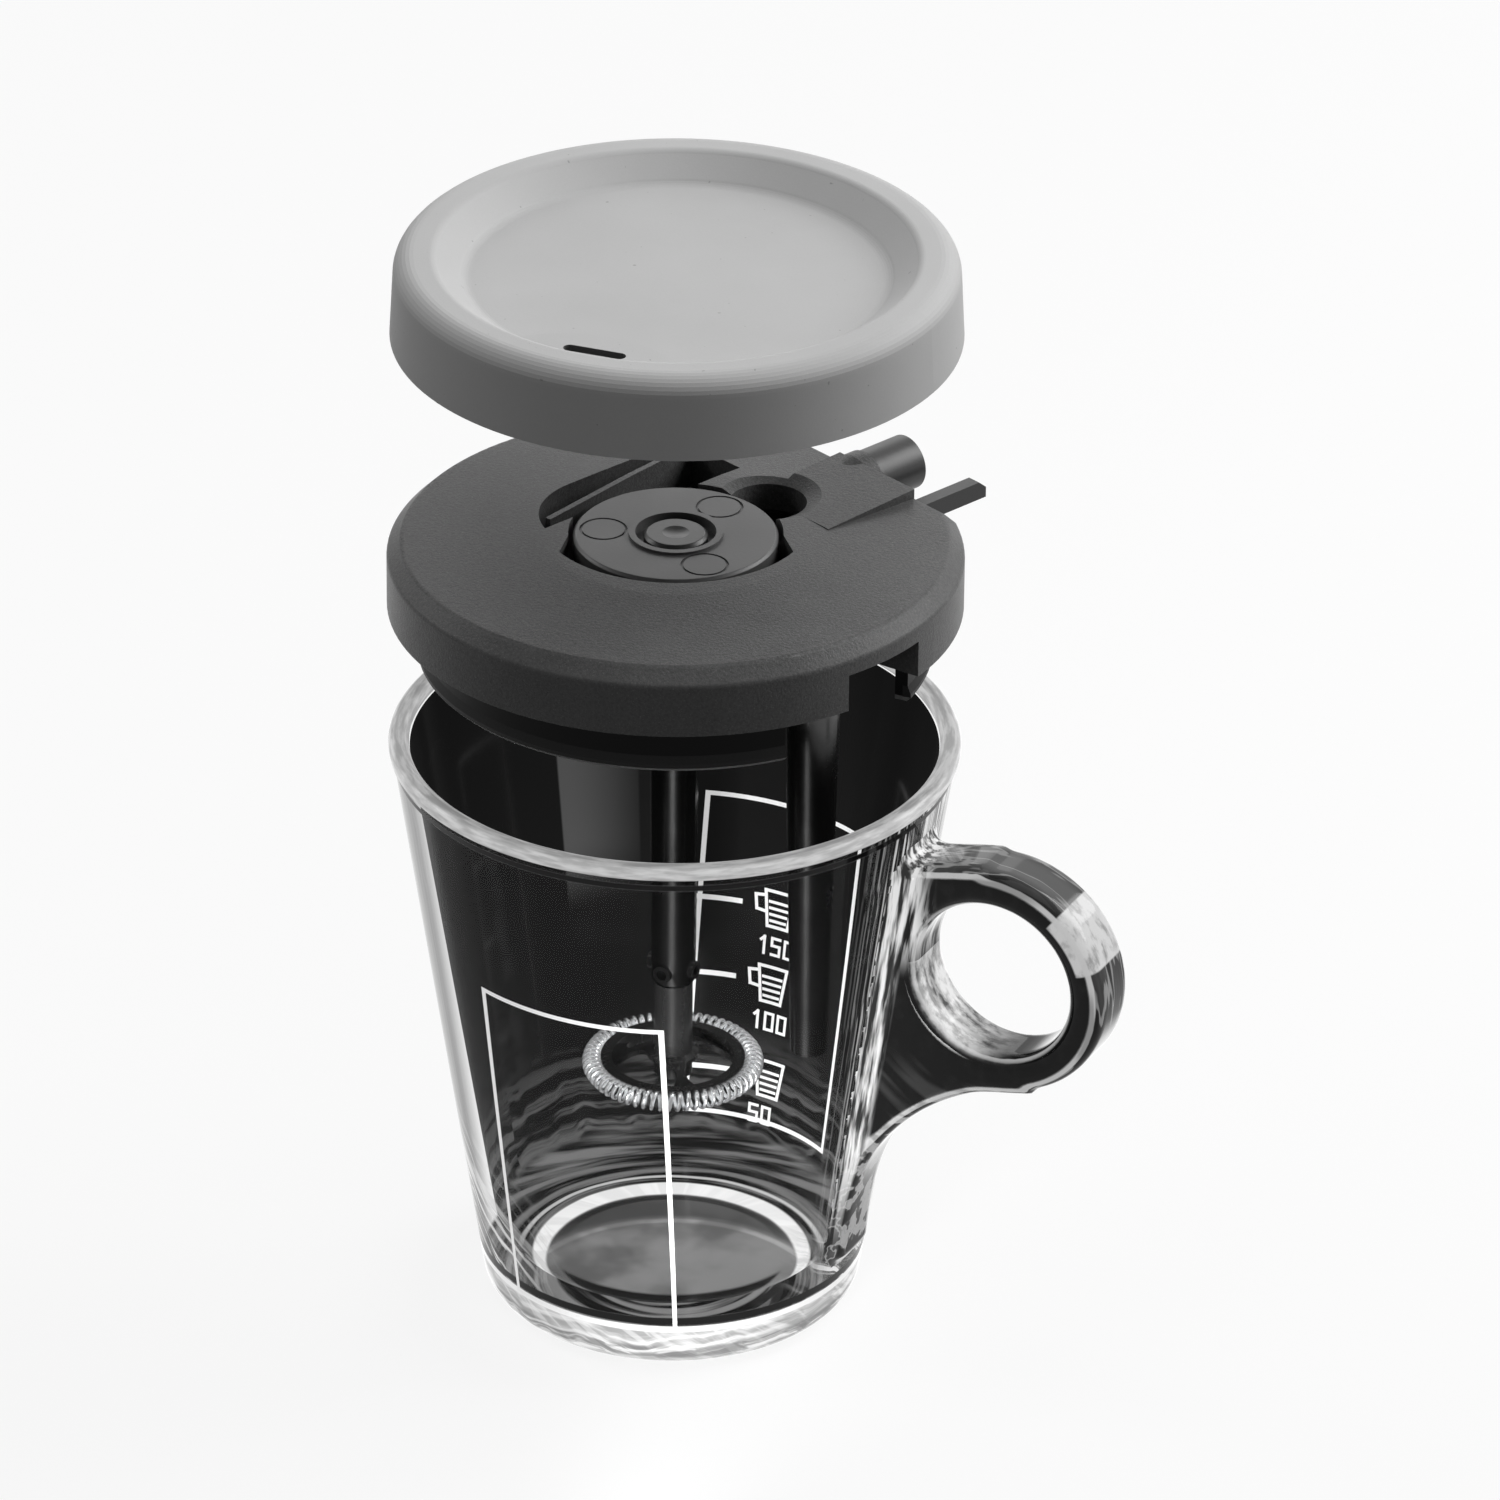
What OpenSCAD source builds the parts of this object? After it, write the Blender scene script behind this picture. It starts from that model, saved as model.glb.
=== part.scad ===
// Milk frother: a glass mug, a magnet-driven frother head and a silicone drinking cover.
// Millimetres. The table is z = 0, the mug stands on the Z axis and its handle points along +X.
// The three assemblies are shown lifted apart along Z, as on display.

/* [Arrangement] */
// Lift of the frother head above its seat on the rim
head_raise = 21.6; // [0:0.1:60]
// Clear height from the top of the head to the skirt of the cover
cover_raise = 33.4; // [4:0.1:60]

/* [Mug] */
// Outside diameter of the rim
rim_od = 84; // [80:1:92]
// Height of the mug
mug_h = 93; // [84:0.5:105]
// Lean of the outer wall from upright, in degrees
wall_lean = 8.6; // [7:0.2:9]
// Lean of the inner wall from upright, in degrees
bore_lean = 9; // [7.6:0.1:9.6]
// Thickness of the glass just under the rim
rim_wall = 2.6; // [2.2:0.1:3.4]
// How far the rim bead stands proud of the wall on each side
bead_proud = 0.25; // [0.1:0.05:0.5]
// Thickness of the glass floor
floor_th = 8.5; // [5:0.5:12]
// Fillet between the floor and the inner wall
floor_round = 6; // [3:0.5:9]
// Rounding of the foot
foot_round = 5; // [3:0.5:7]
// Diameter of the hollow under the foot
punt_d = 38; // [30:1:41]
// Depth of the hollow under the foot
punt_h = 1.5; // [0.5:0.1:3]

/* [Mug handle] */
// Distance from the mug axis to the middle of the finger ring
ring_x = 54.5; // [53:0.5:58]
// Height of the middle of the finger ring
ring_z = 67.5; // [63:0.5:71]
// Diameter of the finger hole
ring_hole_d = 24.5; // [20:0.5:26]
// Radial depth of the glass bar round the finger hole
ring_bar = 5.6; // [5:0.1:8]
// Width of the handle across its flat faces
handle_w = 10.4; // [7:0.1:14]
// Rounding of the handle's edges
handle_round = 2.2; // [1:0.1:2.4]
// Radius of the sweep from the ring down into the wall
tail_r = 37; // [28:1:42]
// How far the web stands back from the handle's flat faces on each side
web_step = 0.5; // [0.4:0.1:2]
// How far the handle flares on each side where it runs into the wall
root_flare = 2.6; // [1:0.2:4]
// Distance from the wall at which the flare starts
root_run = 3.4; // [2:0.2:5]

/* [Frother head] */
// Height of the head's disc
head_h = 10.2; // [9.6:0.1:14]
// Width and height of the chamfer round the top
head_chamfer = 2.2; // [1:0.1:3]
// Softening radius of the head's outer edges
head_soft = 1; // [0.4:0.1:1.6]
// Rise of the top from the chamfer to the drive pocket
crown = 0.9; // [0.4:0.1:1.4]
// Radius inside which the top is level
crown_r = 19.5; // [18.5:0.1:21]
// How far the flat that the steam connector stands on lies inside the head's edge
flat_in = 5.5; // [4.5:0.1:6.5]
// Height of the round ledge under the flat
ledge_h = 3.4; // [2.8:0.1:3.8]
// Room in the ledge round the steam connector
ledge_room = 1; // [0.6:0.1:1.4]
// Side wall of the head cover
head_side = 2; // [1.6:0.1:3]
// Top wall of the head cover
head_top = 2.2; // [1.6:0.1:2.6]
// Thickness of the head's base plate
base_th = 2; // [1.6:0.1:2.6]
// Height of the plug skirt below the base plate
skirt_h = 7.8; // [5:0.1:10]
// Wall of the plug skirt
skirt_wall = 2; // [1.8:0.1:3]
// Azimuth at which the plug skirt starts, in degrees
skirt_from = 3; // [-5:1:10]
// Sweep of the plug skirt, leaving the pouring gap open, in degrees
skirt_sweep = 320; // [300:1:326]
// Height of the seal on the skirt
seal_h = 2.4; // [1.6:0.1:3.6]
// How deep the seal sits in the skirt
seal_seat = 0.8; // [0.4:0.1:1.2]
// Room between the seal and the glass
seal_clear = 0.3; // [0.2:0.05:0.6]
// Azimuth of the middle of the pouring notch, in degrees
notch_az = -16; // [-22:1:-12]
// Width of the pouring notch, in degrees
notch_sweep = 20; // [10:1:24]
// Height of the pouring notch
notch_h = 5.7; // [3:0.1:6]
// Radius at which the pouring notch starts
notch_r = 34; // [33:0.5:36]

/* [Drive pocket] */
// Diameter of the drive disc
disc_d = 29.9; // [26:0.1:31]
// Room round the drive disc
pocket_gap = 0.7; // [0.4:0.1:1.2]
// Wall round the pocket, the channel and the chute
pocket_wall = 1.5; // [1:0.1:2]
// Azimuth of the pocket's wide front mouth, in degrees
mouth_az = -61.5; // [-70:0.5:-55]
// Radius of the mouth's front arc
mouth_r = 19.6; // [19:0.1:21]
// Distance from the drive axis to the front of the mouth
mouth_reach = 16; // [15.8:0.1:17]
// Half the width of the mouth between its corners
mouth_half = 17.2; // [16.6:0.1:17.6]
// Azimuth that the head plugs into its machine, in degrees
dock_az = 70; // [64:1:76]
// Distance from the drive axis to the far side of the docking channel
channel_side = 21.9; // [20.5:0.1:23]
// Radius of the docking channel's closed end
channel_round = 12.7; // [11:0.1:14]
// Length of the docking channel past the drive axis
channel_run = 21; // [16:0.5:24]
// Floor of the docking channel above the base plate
channel_floor = 2.2; // [1:0.1:4]
// Thickness of the rib in the docking channel
channel_rib = 0.9; // [0.6:0.1:1.4]
// Length by which the rib runs back along the pocket from the drive axis
rib_back = 11; // [8:0.5:14]
// Distance from the flat to the middle of the coffee hole
chute_in = 18.9; // [17.5:0.1:19.4]
// Azimuth of the coffee hole, in degrees
chute_az = 68; // [62:1:70]
// Diameter of the coffee hole in the head cover
chute_d = 11.4; // [9:0.1:12]
// Depth of the cone round the coffee hole
chute_dish = 0.8; // [0.4:0.1:1.2]
// Wall of the coffee chute
chute_wall = 0.9; // [0.7:0.1:1.4]
// Length of the chute below the base plate
chute_drop = 4; // [2:0.5:8]
// Height of the sloping deck at its outer end, above the chamfer round the top
deck_h = 1.6; // [1.2:0.1:2]
// Distance from the docking axis to the deck's right side
deck_side = 14; // [12.5:0.1:16]
// Distance from the docking axis to the deck's left side
deck_left = 2; // [1:0.1:3]

/* [Steam line] */
// Diameter of the steam connector
steam_d = 8.3; // [7:0.1:8.6]
// Bore of the steam connector
steam_bore = 3.8; // [3:0.1:4.2]
// Distance of the connector's axis to the right of the docking direction
steam_side = 1; // [0:0.1:3]
// Depth of the connector's axis below the top of the head
steam_sink = 2.4; // [1.8:0.1:2.8]
// Length by which the connector stands out of the head
steam_out = 8.5; // [4:0.1:12]
// How far the hood round the connector stands proud of it
hood_proud = 0.3; // [0.2:0.05:0.5]
// Distance from the flat to the middle of the steam connector's block
block_in = 6.5; // [6:0.1:7.5]
// Thickness of the O-ring in the connector's mouth
ring_wire = 1; // [0.8:0.1:1.2]
// Depth of the O-ring behind the connector's mouth
ring_seat = 1.4; // [1:0.1:2]
// Outside diameter of the inner steam hose
hose_d = 4.8; // [4:0.1:5]
// Room round the hose where it passes under the hood
hose_room = 0.3; // [0.2:0.1:0.6]
// Bore of the inner steam hose
hose_bore = 3; // [2.4:0.1:3.2]
// How much nearer the drive pocket than halfway to the side wall the steam tube stands
tube_near = 3.8; // [3:0.1:4.6]
// Azimuth of the steam tube, in degrees
tube_az = -6; // [-9:1:0]
// Diameter of the steam tube at its root
tube_root_d = 8.5; // [7:0.1:9]
// Diameter of the steam tube at its tip
tube_tip_d = 5.4; // [5:0.1:7]
// Bore of the steam tube
tube_bore = 3; // [2:0.1:3.4]
// Length of the steam tube below the base plate
tube_drop = 67.5; // [50:0.5:72]
// Distance from the docking axis to the guide peg
peg_side = 11.7; // [10:0.1:14]
// Depth of the guide peg's middle below the top of the head
peg_sink = 4; // [3.8:0.1:6]
// Width of the guide peg
peg_w = 2.2; // [1.6:0.1:3]
// Height of the guide peg
peg_h = 2.8; // [2:0.1:3.2]
// How far the guide peg stands out from the flat
peg_out = 13.5; // [8:0.5:16]

/* [Drive and whisk] */
// Diameter of the drive shaft
shaft_d = 3; // [2.5:0.1:3.4]
// Running clearance between the shaft and its bushes, on the radius
shaft_run = 0.05; // [0.03:0.01:0.1]
// Outside diameter of the shaft sleeve at its root
sleeve_d = 7.4; // [7.2:0.1:8]
// Outside diameter of the shaft sleeve at its free end
sleeve_tip_d = 6.6; // [6.4:0.1:7]
// Wall of the shaft sleeve
sleeve_wall = 1.4; // [1.3:0.1:1.6]
// Length of the shaft sleeve below the base plate
sleeve_drop = 63; // [45:0.5:66]
// Diameter of the four drain holes in the sleeve
drain_d = 1.6; // [1:0.1:2]
// Height of the drain holes above the sleeve's end
drain_up = 2; // [1.8:0.1:5]
// Length of each bush
bush_l = 6; // [4:0.5:8]
// Thickness of the drive disc
disc_h = 3.4; // [3:0.1:3.8]
// Depth of the disc's top below the top of the head
disc_sink = 0.2; // [0:0.1:0.6]
// Number of magnets in the drive disc
magnet_count = 3; // [2:1:4]
// Diameter of each magnet
magnet_d = 6; // [4:0.1:6.4]
// Thickness of each magnet
magnet_h = 2.3; // [1.5:0.1:2.5]
// Distance from the drive axis to each magnet
magnet_pitch = 10.6; // [10.4:0.1:11]
// Azimuth of the first magnet, in degrees
magnet_az = -39; // [-60:1:60]
// Thickness of the plate that closes the magnet pockets
plate_h = 0.6; // [0.4:0.1:0.8]
// Diameter of the cap on the end of the shaft
cap_d = 9.4; // [8:0.1:10]
// Outside diameter of the whisk's spring ring
whisk_od = 27.2; // [24:0.1:30]
// Outside diameter of the spring's turns
coil_d = 3.1; // [2.6:0.1:3.6]
// Diameter of the spring's wire
wire_d = 0.62; // [0.5:0.02:0.8]
// Number of turns in the spring ring
coil_turns = 62; // [40:1:66]
// Diameter of the whisk's stem
stem_d = 5.8; // [5:0.1:6.2]
// Length of the stem from the sleeve to the middle of the spring ring
stem_l = 14.5; // [9:0.5:17]
// Gap between the sleeve and the whisk's stem
stem_gap = 0.5; // [0.3:0.1:1]
// Number of openings in the whisk's hub
port_count = 3; // [2:1:4]
// Azimuth of the middle of the first opening, in degrees
port_az = 10; // [-60:1:60]
// Sweep of each opening, in degrees
port_sweep = 58; // [30:1:60]
// Rise of the hub from the spring ring to the foot of the stem
hub_rise = 2.2; // [1:0.1:3]

/* [Silicone cover] */
// Outside diameter at the lower edge of the skirt
cover_od = 82.6; // [80:0.2:90]
// Height of the cover
cover_h = 12.4; // [9:0.1:16]
// How much the outside narrows from the lower edge to the shoulder, on the radius
cover_draft = 0.5; // [0:0.1:2]
// Wall of the skirt
cover_wall = 2; // [1.6:0.1:3]
// Thickness of the top
cover_top = 2; // [1.6:0.1:3]
// Rounding of the outer shoulder
shoulder_round = 3; // [2.4:0.1:4]
// Diameter of the recess at its upper edge
recess_d = 69.6; // [60:0.2:72]
// Slope of the recess wall, measured across
recess_slope = 3.8; // [2:0.1:6]
// Depth of the recess
recess_h = 3.8; // [2:0.1:4]
// Inward bead at the lower edge of the skirt
grip_bead = 0.7; // [0.3:0.1:1.2]
// Azimuth of the sip pad, in degrees
pad_az = -82.5; // [-180:0.5:180]
// Radius of the round edge of the sip pad
pad_r = 17; // [14:0.5:19]
// Distance from the cover's axis to the middle of the pad's round edge
pad_pitch = 45.2; // [43:0.2:48]
// Step from the land down to the sip pad
pad_step = 0.3; // [0.1:0.1:1]
// Distance from the cover's axis to the sip slot
slot_pitch = 33.4; // [31:0.2:34]
// Length of the sip slot
slot_l = 9.3; // [6:0.1:12]
// Width of the sip slot
slot_w = 1.9; // [1.4:0.1:3]

/* [Hidden] */
$fn = 96;
eps = 0.01;

// Mug
rim_r = rim_od / 2;
bead_r = rim_wall / 2 + bead_proud;
ring_ir = ring_hole_d / 2;
ring_or = ring_ir + ring_bar;
// Radius of the outer and the inner wall line at a height
function wall_or(z) = rim_r - bead_proud - (mug_h - z) * tan(wall_lean);
function wall_ir(z) = rim_r - bead_proud - rim_wall - (mug_h - z) * tan(bore_lean);
// Centre of a circle of radius r that touches a wall line, given the line's radius at its height
function inside(line_r, r, lean) = line_r - r / cos(lean);
foot_r = inside(wall_or(foot_round), foot_round, wall_lean);
cove_z = floor_th + floor_round;
cove_r = inside(wall_ir(cove_z), floor_round, bore_lean);
// Ring centre across and along the outer wall line, and the centre of the tail's sweep
ring_off = (ring_x - wall_or(ring_z)) * cos(wall_lean);
tail_fall = sqrt(pow(ring_or + tail_r, 2) - pow(ring_off - tail_r, 2));
tail_x = ring_x + (tail_r - ring_off) * cos(wall_lean) - tail_fall * sin(wall_lean);
tail_z = ring_z - (tail_r - ring_off) * sin(wall_lean) - tail_fall * cos(wall_lean);
tail_from = atan2(ring_z - tail_z, ring_x - tail_x);
tail_to = 180 - wall_lean;
root_top = ring_ir + 0.6 * ring_bar;
root_lift = 9;

// Frother head, measured from its seat on the rim
head_z = mug_h + head_raise;
head_r = rim_r;
shell_ir = head_r - head_side;
plate_r = shell_ir - 0.1;
seal_low = -skirt_h - 0.4;
seal_or = min(wall_ir(mug_h + seal_low), rim_r - 2 * bead_r) - seal_clear;
skirt_or = seal_or - 0.5;
pocket_r = disc_d / 2 + pocket_gap;
top_z = head_h + crown;
deck_from = pocket_r + 1.5;
flat_reach = head_r - flat_in;
deck_to = flat_reach - head_chamfer;
chute_pitch = flat_reach - chute_in;

// Steam line
steam_z = head_h - steam_sink;
steam_reach = flat_reach + steam_out;
hood_d = steam_d + 2 * hood_proud;
barrel_d = steam_bore + 1.5;
barrel_from = steam_bore / 2 + 0.8;
block_reach = flat_reach - block_in;
tube_pitch = (pocket_r + shell_ir) / 2 - tube_near;
block_at = dock_point(block_reach, -steam_side);
tube_at = tube_pitch * [cos(tube_az), sin(tube_az)];
line_v = tube_at - block_at;
line_l = norm(line_v);
line_az = atan2(line_v[1], line_v[0]);
hose_z = base_th + 0.3 + hose_d / 2;
block_d = hose_d + 2.6;
nipple_l = 3;
washer_t = 1.2;
nipple_d = hose_bore - 0.1;
peg_z = head_h - peg_sink;
// Point at a distance along the docking direction and to its left
function dock_point(along, left) = [along * cos(dock_az) - left * sin(dock_az),
                                    along * sin(dock_az) + left * cos(dock_az)];

// Drive line, measured from the seat on the rim
bush_bore = shaft_d + 2 * shaft_run;
sleeve_bore = sleeve_d - 2 * sleeve_wall;
spigot_top = base_th + 2;
flange_h = 0.8;
washer_h = 0.4;
disc_top = top_z - disc_sink;
disc_z = disc_top - disc_h;
hub_z = spigot_top + flange_h + washer_h;
ring_lip_r = 6.9;
ring_lip_w = 1;
well_h = 1.2;
whisk_z = -sleeve_drop - stem_l;
whisk_r = (whisk_od - coil_d) / 2;
hub_rim_r = whisk_r - coil_d / 2 + 0.9;
hub_rim_w = 2.3;
shaft_low = whisk_z + 2.5;

// Silicone cover, measured from the lower edge of its skirt
cover_z = head_z + head_h + cover_raise;
cover_r = cover_od / 2;
shoulder_r = cover_r - cover_draft;
recess_r = recess_d / 2;
recess_foot_r = recess_r - recess_slope;

// Points along an arc, for a half section
function arc(x, z, r, from, to, steps = 8) =
    [for (i = [0 : steps]) let (a = from + (to - from) * i / steps) [x + r * cos(a), z + r * sin(a)]];

// ---- shared shapes ----

// Bar section with rounded corners, standing outward from x = 0 and centred on y = 0
module bar_section(depth, width, round) {
    translate([round, -width / 2]) square([depth - 2 * round, width]);
    translate([0, -width / 2 + round]) square([depth, width - 2 * round]);
    for (x = [round, depth - round], side = [-1, 1])
        translate([x, side * (width / 2 - round)]) circle(r = round);
}

// Round tube of the given outside and inside diameters
module pipe(od, id, h) {
    difference() {
        cylinder(d = od, h = h);
        translate([0, 0, -eps]) cylinder(d = id, h = h + 2 * eps);
    }
}

// Wedge of the plan view between two azimuths
module wedge(r, middle, sweep) {
    rotate([0, 0, middle])
        polygon([[0, 0], r * [cos(sweep / 2), -sin(sweep / 2)], r * [1.1, 0],
                 r * [cos(sweep / 2), sin(sweep / 2)]]);
}

// Half section of a disc with a softened chamfer round its top
module chamfered_section(r, h, chamfer, soft, rise = 0, level_r = 0) {
    t = soft * tan(22.5);
    polygon([[0, 0], [r, 0], [r, h - chamfer - t], [r - t * cos(45), h - chamfer + t * sin(45)],
             [r - chamfer + t * cos(45), h - t * sin(45)], [r - chamfer - t, h],
             [level_r, h + rise], [0, h + rise]]);
    translate([r - soft, h - chamfer - t]) circle(r = soft);
    translate([r - chamfer - t, h - soft]) circle(r = soft);
}

// ---- mug ----

module mug_outside() {
    rotate_extrude() {
        polygon([[0, 0], [foot_r, 0],
                 [foot_r + foot_round * cos(wall_lean), foot_round * (1 - sin(wall_lean))],
                 [wall_or(mug_h - bead_r), mug_h - bead_r], [0, mug_h - bead_r]]);
        translate([foot_r, foot_round]) circle(r = foot_round);
    }
}

module mug_cavity() {
    rotate_extrude() {
        polygon([[0, floor_th], [cove_r, floor_th],
                 [cove_r + floor_round * cos(bore_lean), cove_z - floor_round * sin(bore_lean)],
                 [wall_ir(mug_h), mug_h], [0, mug_h]]);
        intersection() {
            translate([cove_r, cove_z]) circle(r = floor_round);
            translate([0, floor_th]) square([rim_r, 2 * floor_round]);
        }
    }
}

// Root of the handle, which flares into the wall on each side
module handle_root() {
    half = handle_w / 2 - web_step;
    low = root_lift - tail_fall;
    difference() {
        translate([wall_or(ring_z), 0, ring_z]) rotate([0, wall_lean, 0]) translate([0, 0, low])
            linear_extrude(root_top - low)
                polygon([[-rim_wall, -half - root_flare], [-1, -half - root_flare], [root_run, 0.2 - half],
                         [root_run, half - 0.2], [-1, half + root_flare], [-rim_wall, half + root_flare]]);
        rotate([90, 0, 0]) {
            translate([ring_x, ring_z]) cylinder(r = ring_ir + handle_round, h = 4 * half, center = true);
            translate([tail_x, tail_z]) cylinder(r = tail_r + handle_round, h = 4 * half, center = true);
        }
    }
}

// Finger ring, the bar that sweeps down into the wall, and the thinner web between them
module mug_handle() {
    inset = 0.5;
    side = 0.2;
    lap = 2;
    rotate([90, 0, 0]) {
        translate([ring_x, ring_z]) rotate_extrude()
            translate([ring_ir, 0]) bar_section(ring_bar, handle_w, handle_round);
        translate([tail_x, tail_z]) rotate([0, 0, tail_from - lap])
            rotate_extrude(angle = tail_to - tail_from + 2 * lap) translate([tail_r + inset, 0])
                bar_section(ring_bar - 2 * inset, handle_w - 2 * side, handle_round - 2 * side);
        linear_extrude(handle_w - 2 * web_step, center = true) difference() {
            polygon([[ring_x, ring_z + ring_ir], [wall_or(ring_z) - rim_wall, ring_z + root_top],
                     [wall_or(tail_z) - rim_wall, tail_z], [tail_x, tail_z]]);
            translate([tail_x, tail_z]) circle(r = tail_r + handle_round);
            translate([ring_x, ring_z]) circle(r = ring_ir + handle_round);
        }
    }
}

module glass_mug() {
    color([0.75, 0.8, 0.82, 0.45]) {
        difference() {
            union() {
                mug_outside();
                mug_handle();
                handle_root();
            }
            mug_cavity();
            translate([0, 0, -eps]) cylinder(d1 = punt_d, d2 = punt_d - 2 * punt_h, h = punt_h + eps);
        }
        translate([0, 0, mug_h - bead_r]) rotate_extrude() translate([rim_r - bead_r, 0]) circle(r = bead_r);
    }
}

// ---- frother head: shells ----

// Plan of the drive pocket with its wide front mouth
module pocket_plan(grow = 0) {
    circle(r = pocket_r + grow);
    rotate([0, 0, mouth_az]) intersection() {
        translate([mouth_reach - mouth_r, 0]) circle(r = mouth_r + grow);
        polygon([[-0.5 - grow, -pocket_r + 0.4 - grow], [mouth_reach + 8, -mouth_half - 4.2 - grow],
                 [mouth_reach + 8, mouth_half + 4.2 + grow], [-0.5 - grow, pocket_r - 0.4 + grow]]);
    }
}

// Plan of the docking channel, closed at its front by a round end
module channel_plan(grow = 0) {
    round_y = channel_side - channel_round;
    rotate([0, 0, dock_az]) {
        intersection() {
            translate([-1.5, round_y]) circle(r = channel_round + grow);
            translate([-channel_round - 1.5 - grow, round_y + channel_round / 3])
                square([2 * channel_round, channel_round]);
        }
        translate([-1.5, round_y]) square([channel_run + 1.5 + grow, channel_round + grow]);
    }
}

// Rib that stands in the channel beside the pocket
module channel_rib_plan() {
    rotate([0, 0, dock_az]) translate([-rib_back, pocket_r - 0.6]) rotate([0, 0, 8])
        square([channel_run + rib_back, channel_rib]);
}

module chute_plan(grow = 0) {
    rotate([0, 0, chute_az]) translate([chute_pitch, 0]) circle(d = chute_d + 2 * grow);
}

// Room above a height, beyond a distance along the docking direction
module docking_side(reach, low) {
    rotate([0, 0, dock_az]) translate([reach, -2 * head_r, low]) cube([head_r, 4 * head_r, 2 * head_h]);
}

// Round shell of the head with the flat that the steam connector stands on
module head_shell() {
    difference() {
        rotate_extrude() chamfered_section(head_r, head_h, head_chamfer, head_soft, crown, crown_r);
        difference() {
            translate([0, 0, -eps]) rotate_extrude()
                chamfered_section(shell_ir, head_h - head_top + eps, head_chamfer, head_soft);
            docking_side(flat_reach - head_side, base_th);
        }
        docking_side(flat_reach, ledge_h);
        // Chamfer along the flat
        rotate([0, 0, dock_az]) translate([flat_reach - head_chamfer / 2, 0, head_h - head_chamfer / 2])
            rotate([0, -45, 0]) translate([0, -head_r, -head_chamfer])
                cube([2 * head_chamfer, 2 * head_r, 2 * head_chamfer]);
        // Room in the ledge round the connector
        on_steam_axis(flat_reach) cylinder(d = steam_d + 2 * ledge_room, h = head_r);
    }
}

// Deck that rises from the coffee hole to the flat
module deck() {
    rotate([0, 0, dock_az]) translate([0, deck_left, 0]) rotate([90, 0, 0])
        linear_extrude(deck_side + deck_left)
            polygon([[deck_from, head_h - 1], [deck_to, head_h - 1], [deck_to, head_h + deck_h],
                     [deck_from, top_z + eps]]);
}

// Hood that widens from the deck to the steam connector
module hood() {
    intersection() {
        union() {
            on_steam_axis(block_reach) cylinder(d1 = block_d - 0.6, d2 = hood_d, h = deck_to - block_reach);
            on_steam_axis(deck_to - eps) cylinder(d = hood_d, h = flat_reach - deck_to + eps);
        }
        translate([0, 0, base_th]) cylinder(r = head_r, h = 2 * head_h);
    }
}

// Space along the steam connector's axis, from a distance along the docking direction
module on_steam_axis(along) {
    rotate([0, 0, dock_az]) translate([along, -steam_side, steam_z]) rotate([0, 90, 0]) children();
}

// Room for the pouring notch, from below
module notch_space(grow = 0) {
    translate([0, 0, -eps]) linear_extrude(notch_h + grow + eps) difference() {
        wedge(head_r + 6, notch_az, notch_sweep + 2 * grow);
        circle(r = notch_r - grow);
    }
}

module head_cover() {
    color([0.22, 0.22, 0.23]) translate([0, 0, head_z]) difference() {
        union() {
            head_shell();
            // Walls under the top round the pocket, the channel, the hole and the notch
            translate([0, 0, base_th]) linear_extrude(head_h - head_top - base_th + eps) intersection() {
                circle(r = shell_ir + eps);
                union() {
                    pocket_plan(pocket_wall);
                    channel_plan(pocket_wall);
                    chute_plan(pocket_wall);
                }
            }
            intersection() {
                notch_space(1.3);
                cylinder(r = shell_ir + 1, h = head_h);
            }
            deck();
            hood();
        }
        translate([0, 0, -eps]) linear_extrude(2 * head_h) {
            pocket_plan();
            chute_plan();
        }
        // Channel with its rib
        translate([0, 0, base_th + channel_floor]) linear_extrude(head_h) difference() {
            channel_plan();
            channel_rib_plan();
        }
        notch_space();
        // Shallow dish round the coffee hole
        translate([0, 0, top_z - chute_dish]) rotate([0, 0, chute_az]) translate([chute_pitch, 0])
            cylinder(d1 = chute_d, d2 = chute_d + 12 * chute_dish, h = 3 * chute_dish);
        // Seats of the connector's barrel and of the blocks at both ends of the hose
        on_steam_axis(block_reach - barrel_from) cylinder(d = barrel_d, h = head_r);
        for (at = [block_at, tube_at])
            translate([at[0], at[1], base_th]) cylinder(d = block_d, h = head_h - head_top - base_th);
        on_hose_axis(0) cylinder(d = hose_d + 2 * hose_room, h = line_l);
        // Slot for the guide peg
        guide_bar(peg_w + 0.04, peg_h + 0.04);
    }
}

// Straight bar along the docking direction that the guide peg is made of
module guide_bar(w, h) {
    sunk = 4;
    rotate([0, 0, dock_az]) translate([flat_reach - sunk, -peg_side - w / 2, peg_z - h / 2])
        cube([sunk + peg_out, w, h]);
}

module guide_peg() {
    color([0.16, 0.16, 0.17]) translate([0, 0, head_z]) difference() {
        guide_bar(peg_w, peg_h);
        // Lead-in cut on the free end
        rotate([0, 0, dock_az]) translate([flat_reach + peg_out, -peg_side, peg_z + peg_h / 2])
            rotate([0, 40, 0]) cube([4, 2 * peg_w, 1.8], center = true);
    }
}

module head_base() {
    color([0.14, 0.14, 0.15]) translate([0, 0, head_z]) difference() {
        union() {
            cylinder(r = plate_r, h = base_th);
            cylinder(d = sleeve_d + 4, h = spigot_top);
            rotate([0, 0, skirt_from]) rotate_extrude(angle = skirt_sweep)
                translate([skirt_or - skirt_wall, seal_low]) square([skirt_wall, eps - seal_low]);
        }
        translate([0, 0, -1]) cylinder(d = sleeve_d, h = spigot_top + 2);
        translate([0, 0, -eps]) linear_extrude(base_th + 2 * eps) chute_plan();
        translate([tube_at[0], tube_at[1], -eps]) cylinder(d = tube_root_d - 1, h = base_th + 2 * eps);
        // The notch with its walls stays clear of the plate
        notch_space(1.3);
        // Groove for the seal
        rotate([0, 0, skirt_from]) rotate_extrude(angle = skirt_sweep)
            translate([skirt_or - seal_seat, seal_low - eps]) square([seal_seat + 1, seal_h + eps]);
    }
}

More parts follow.
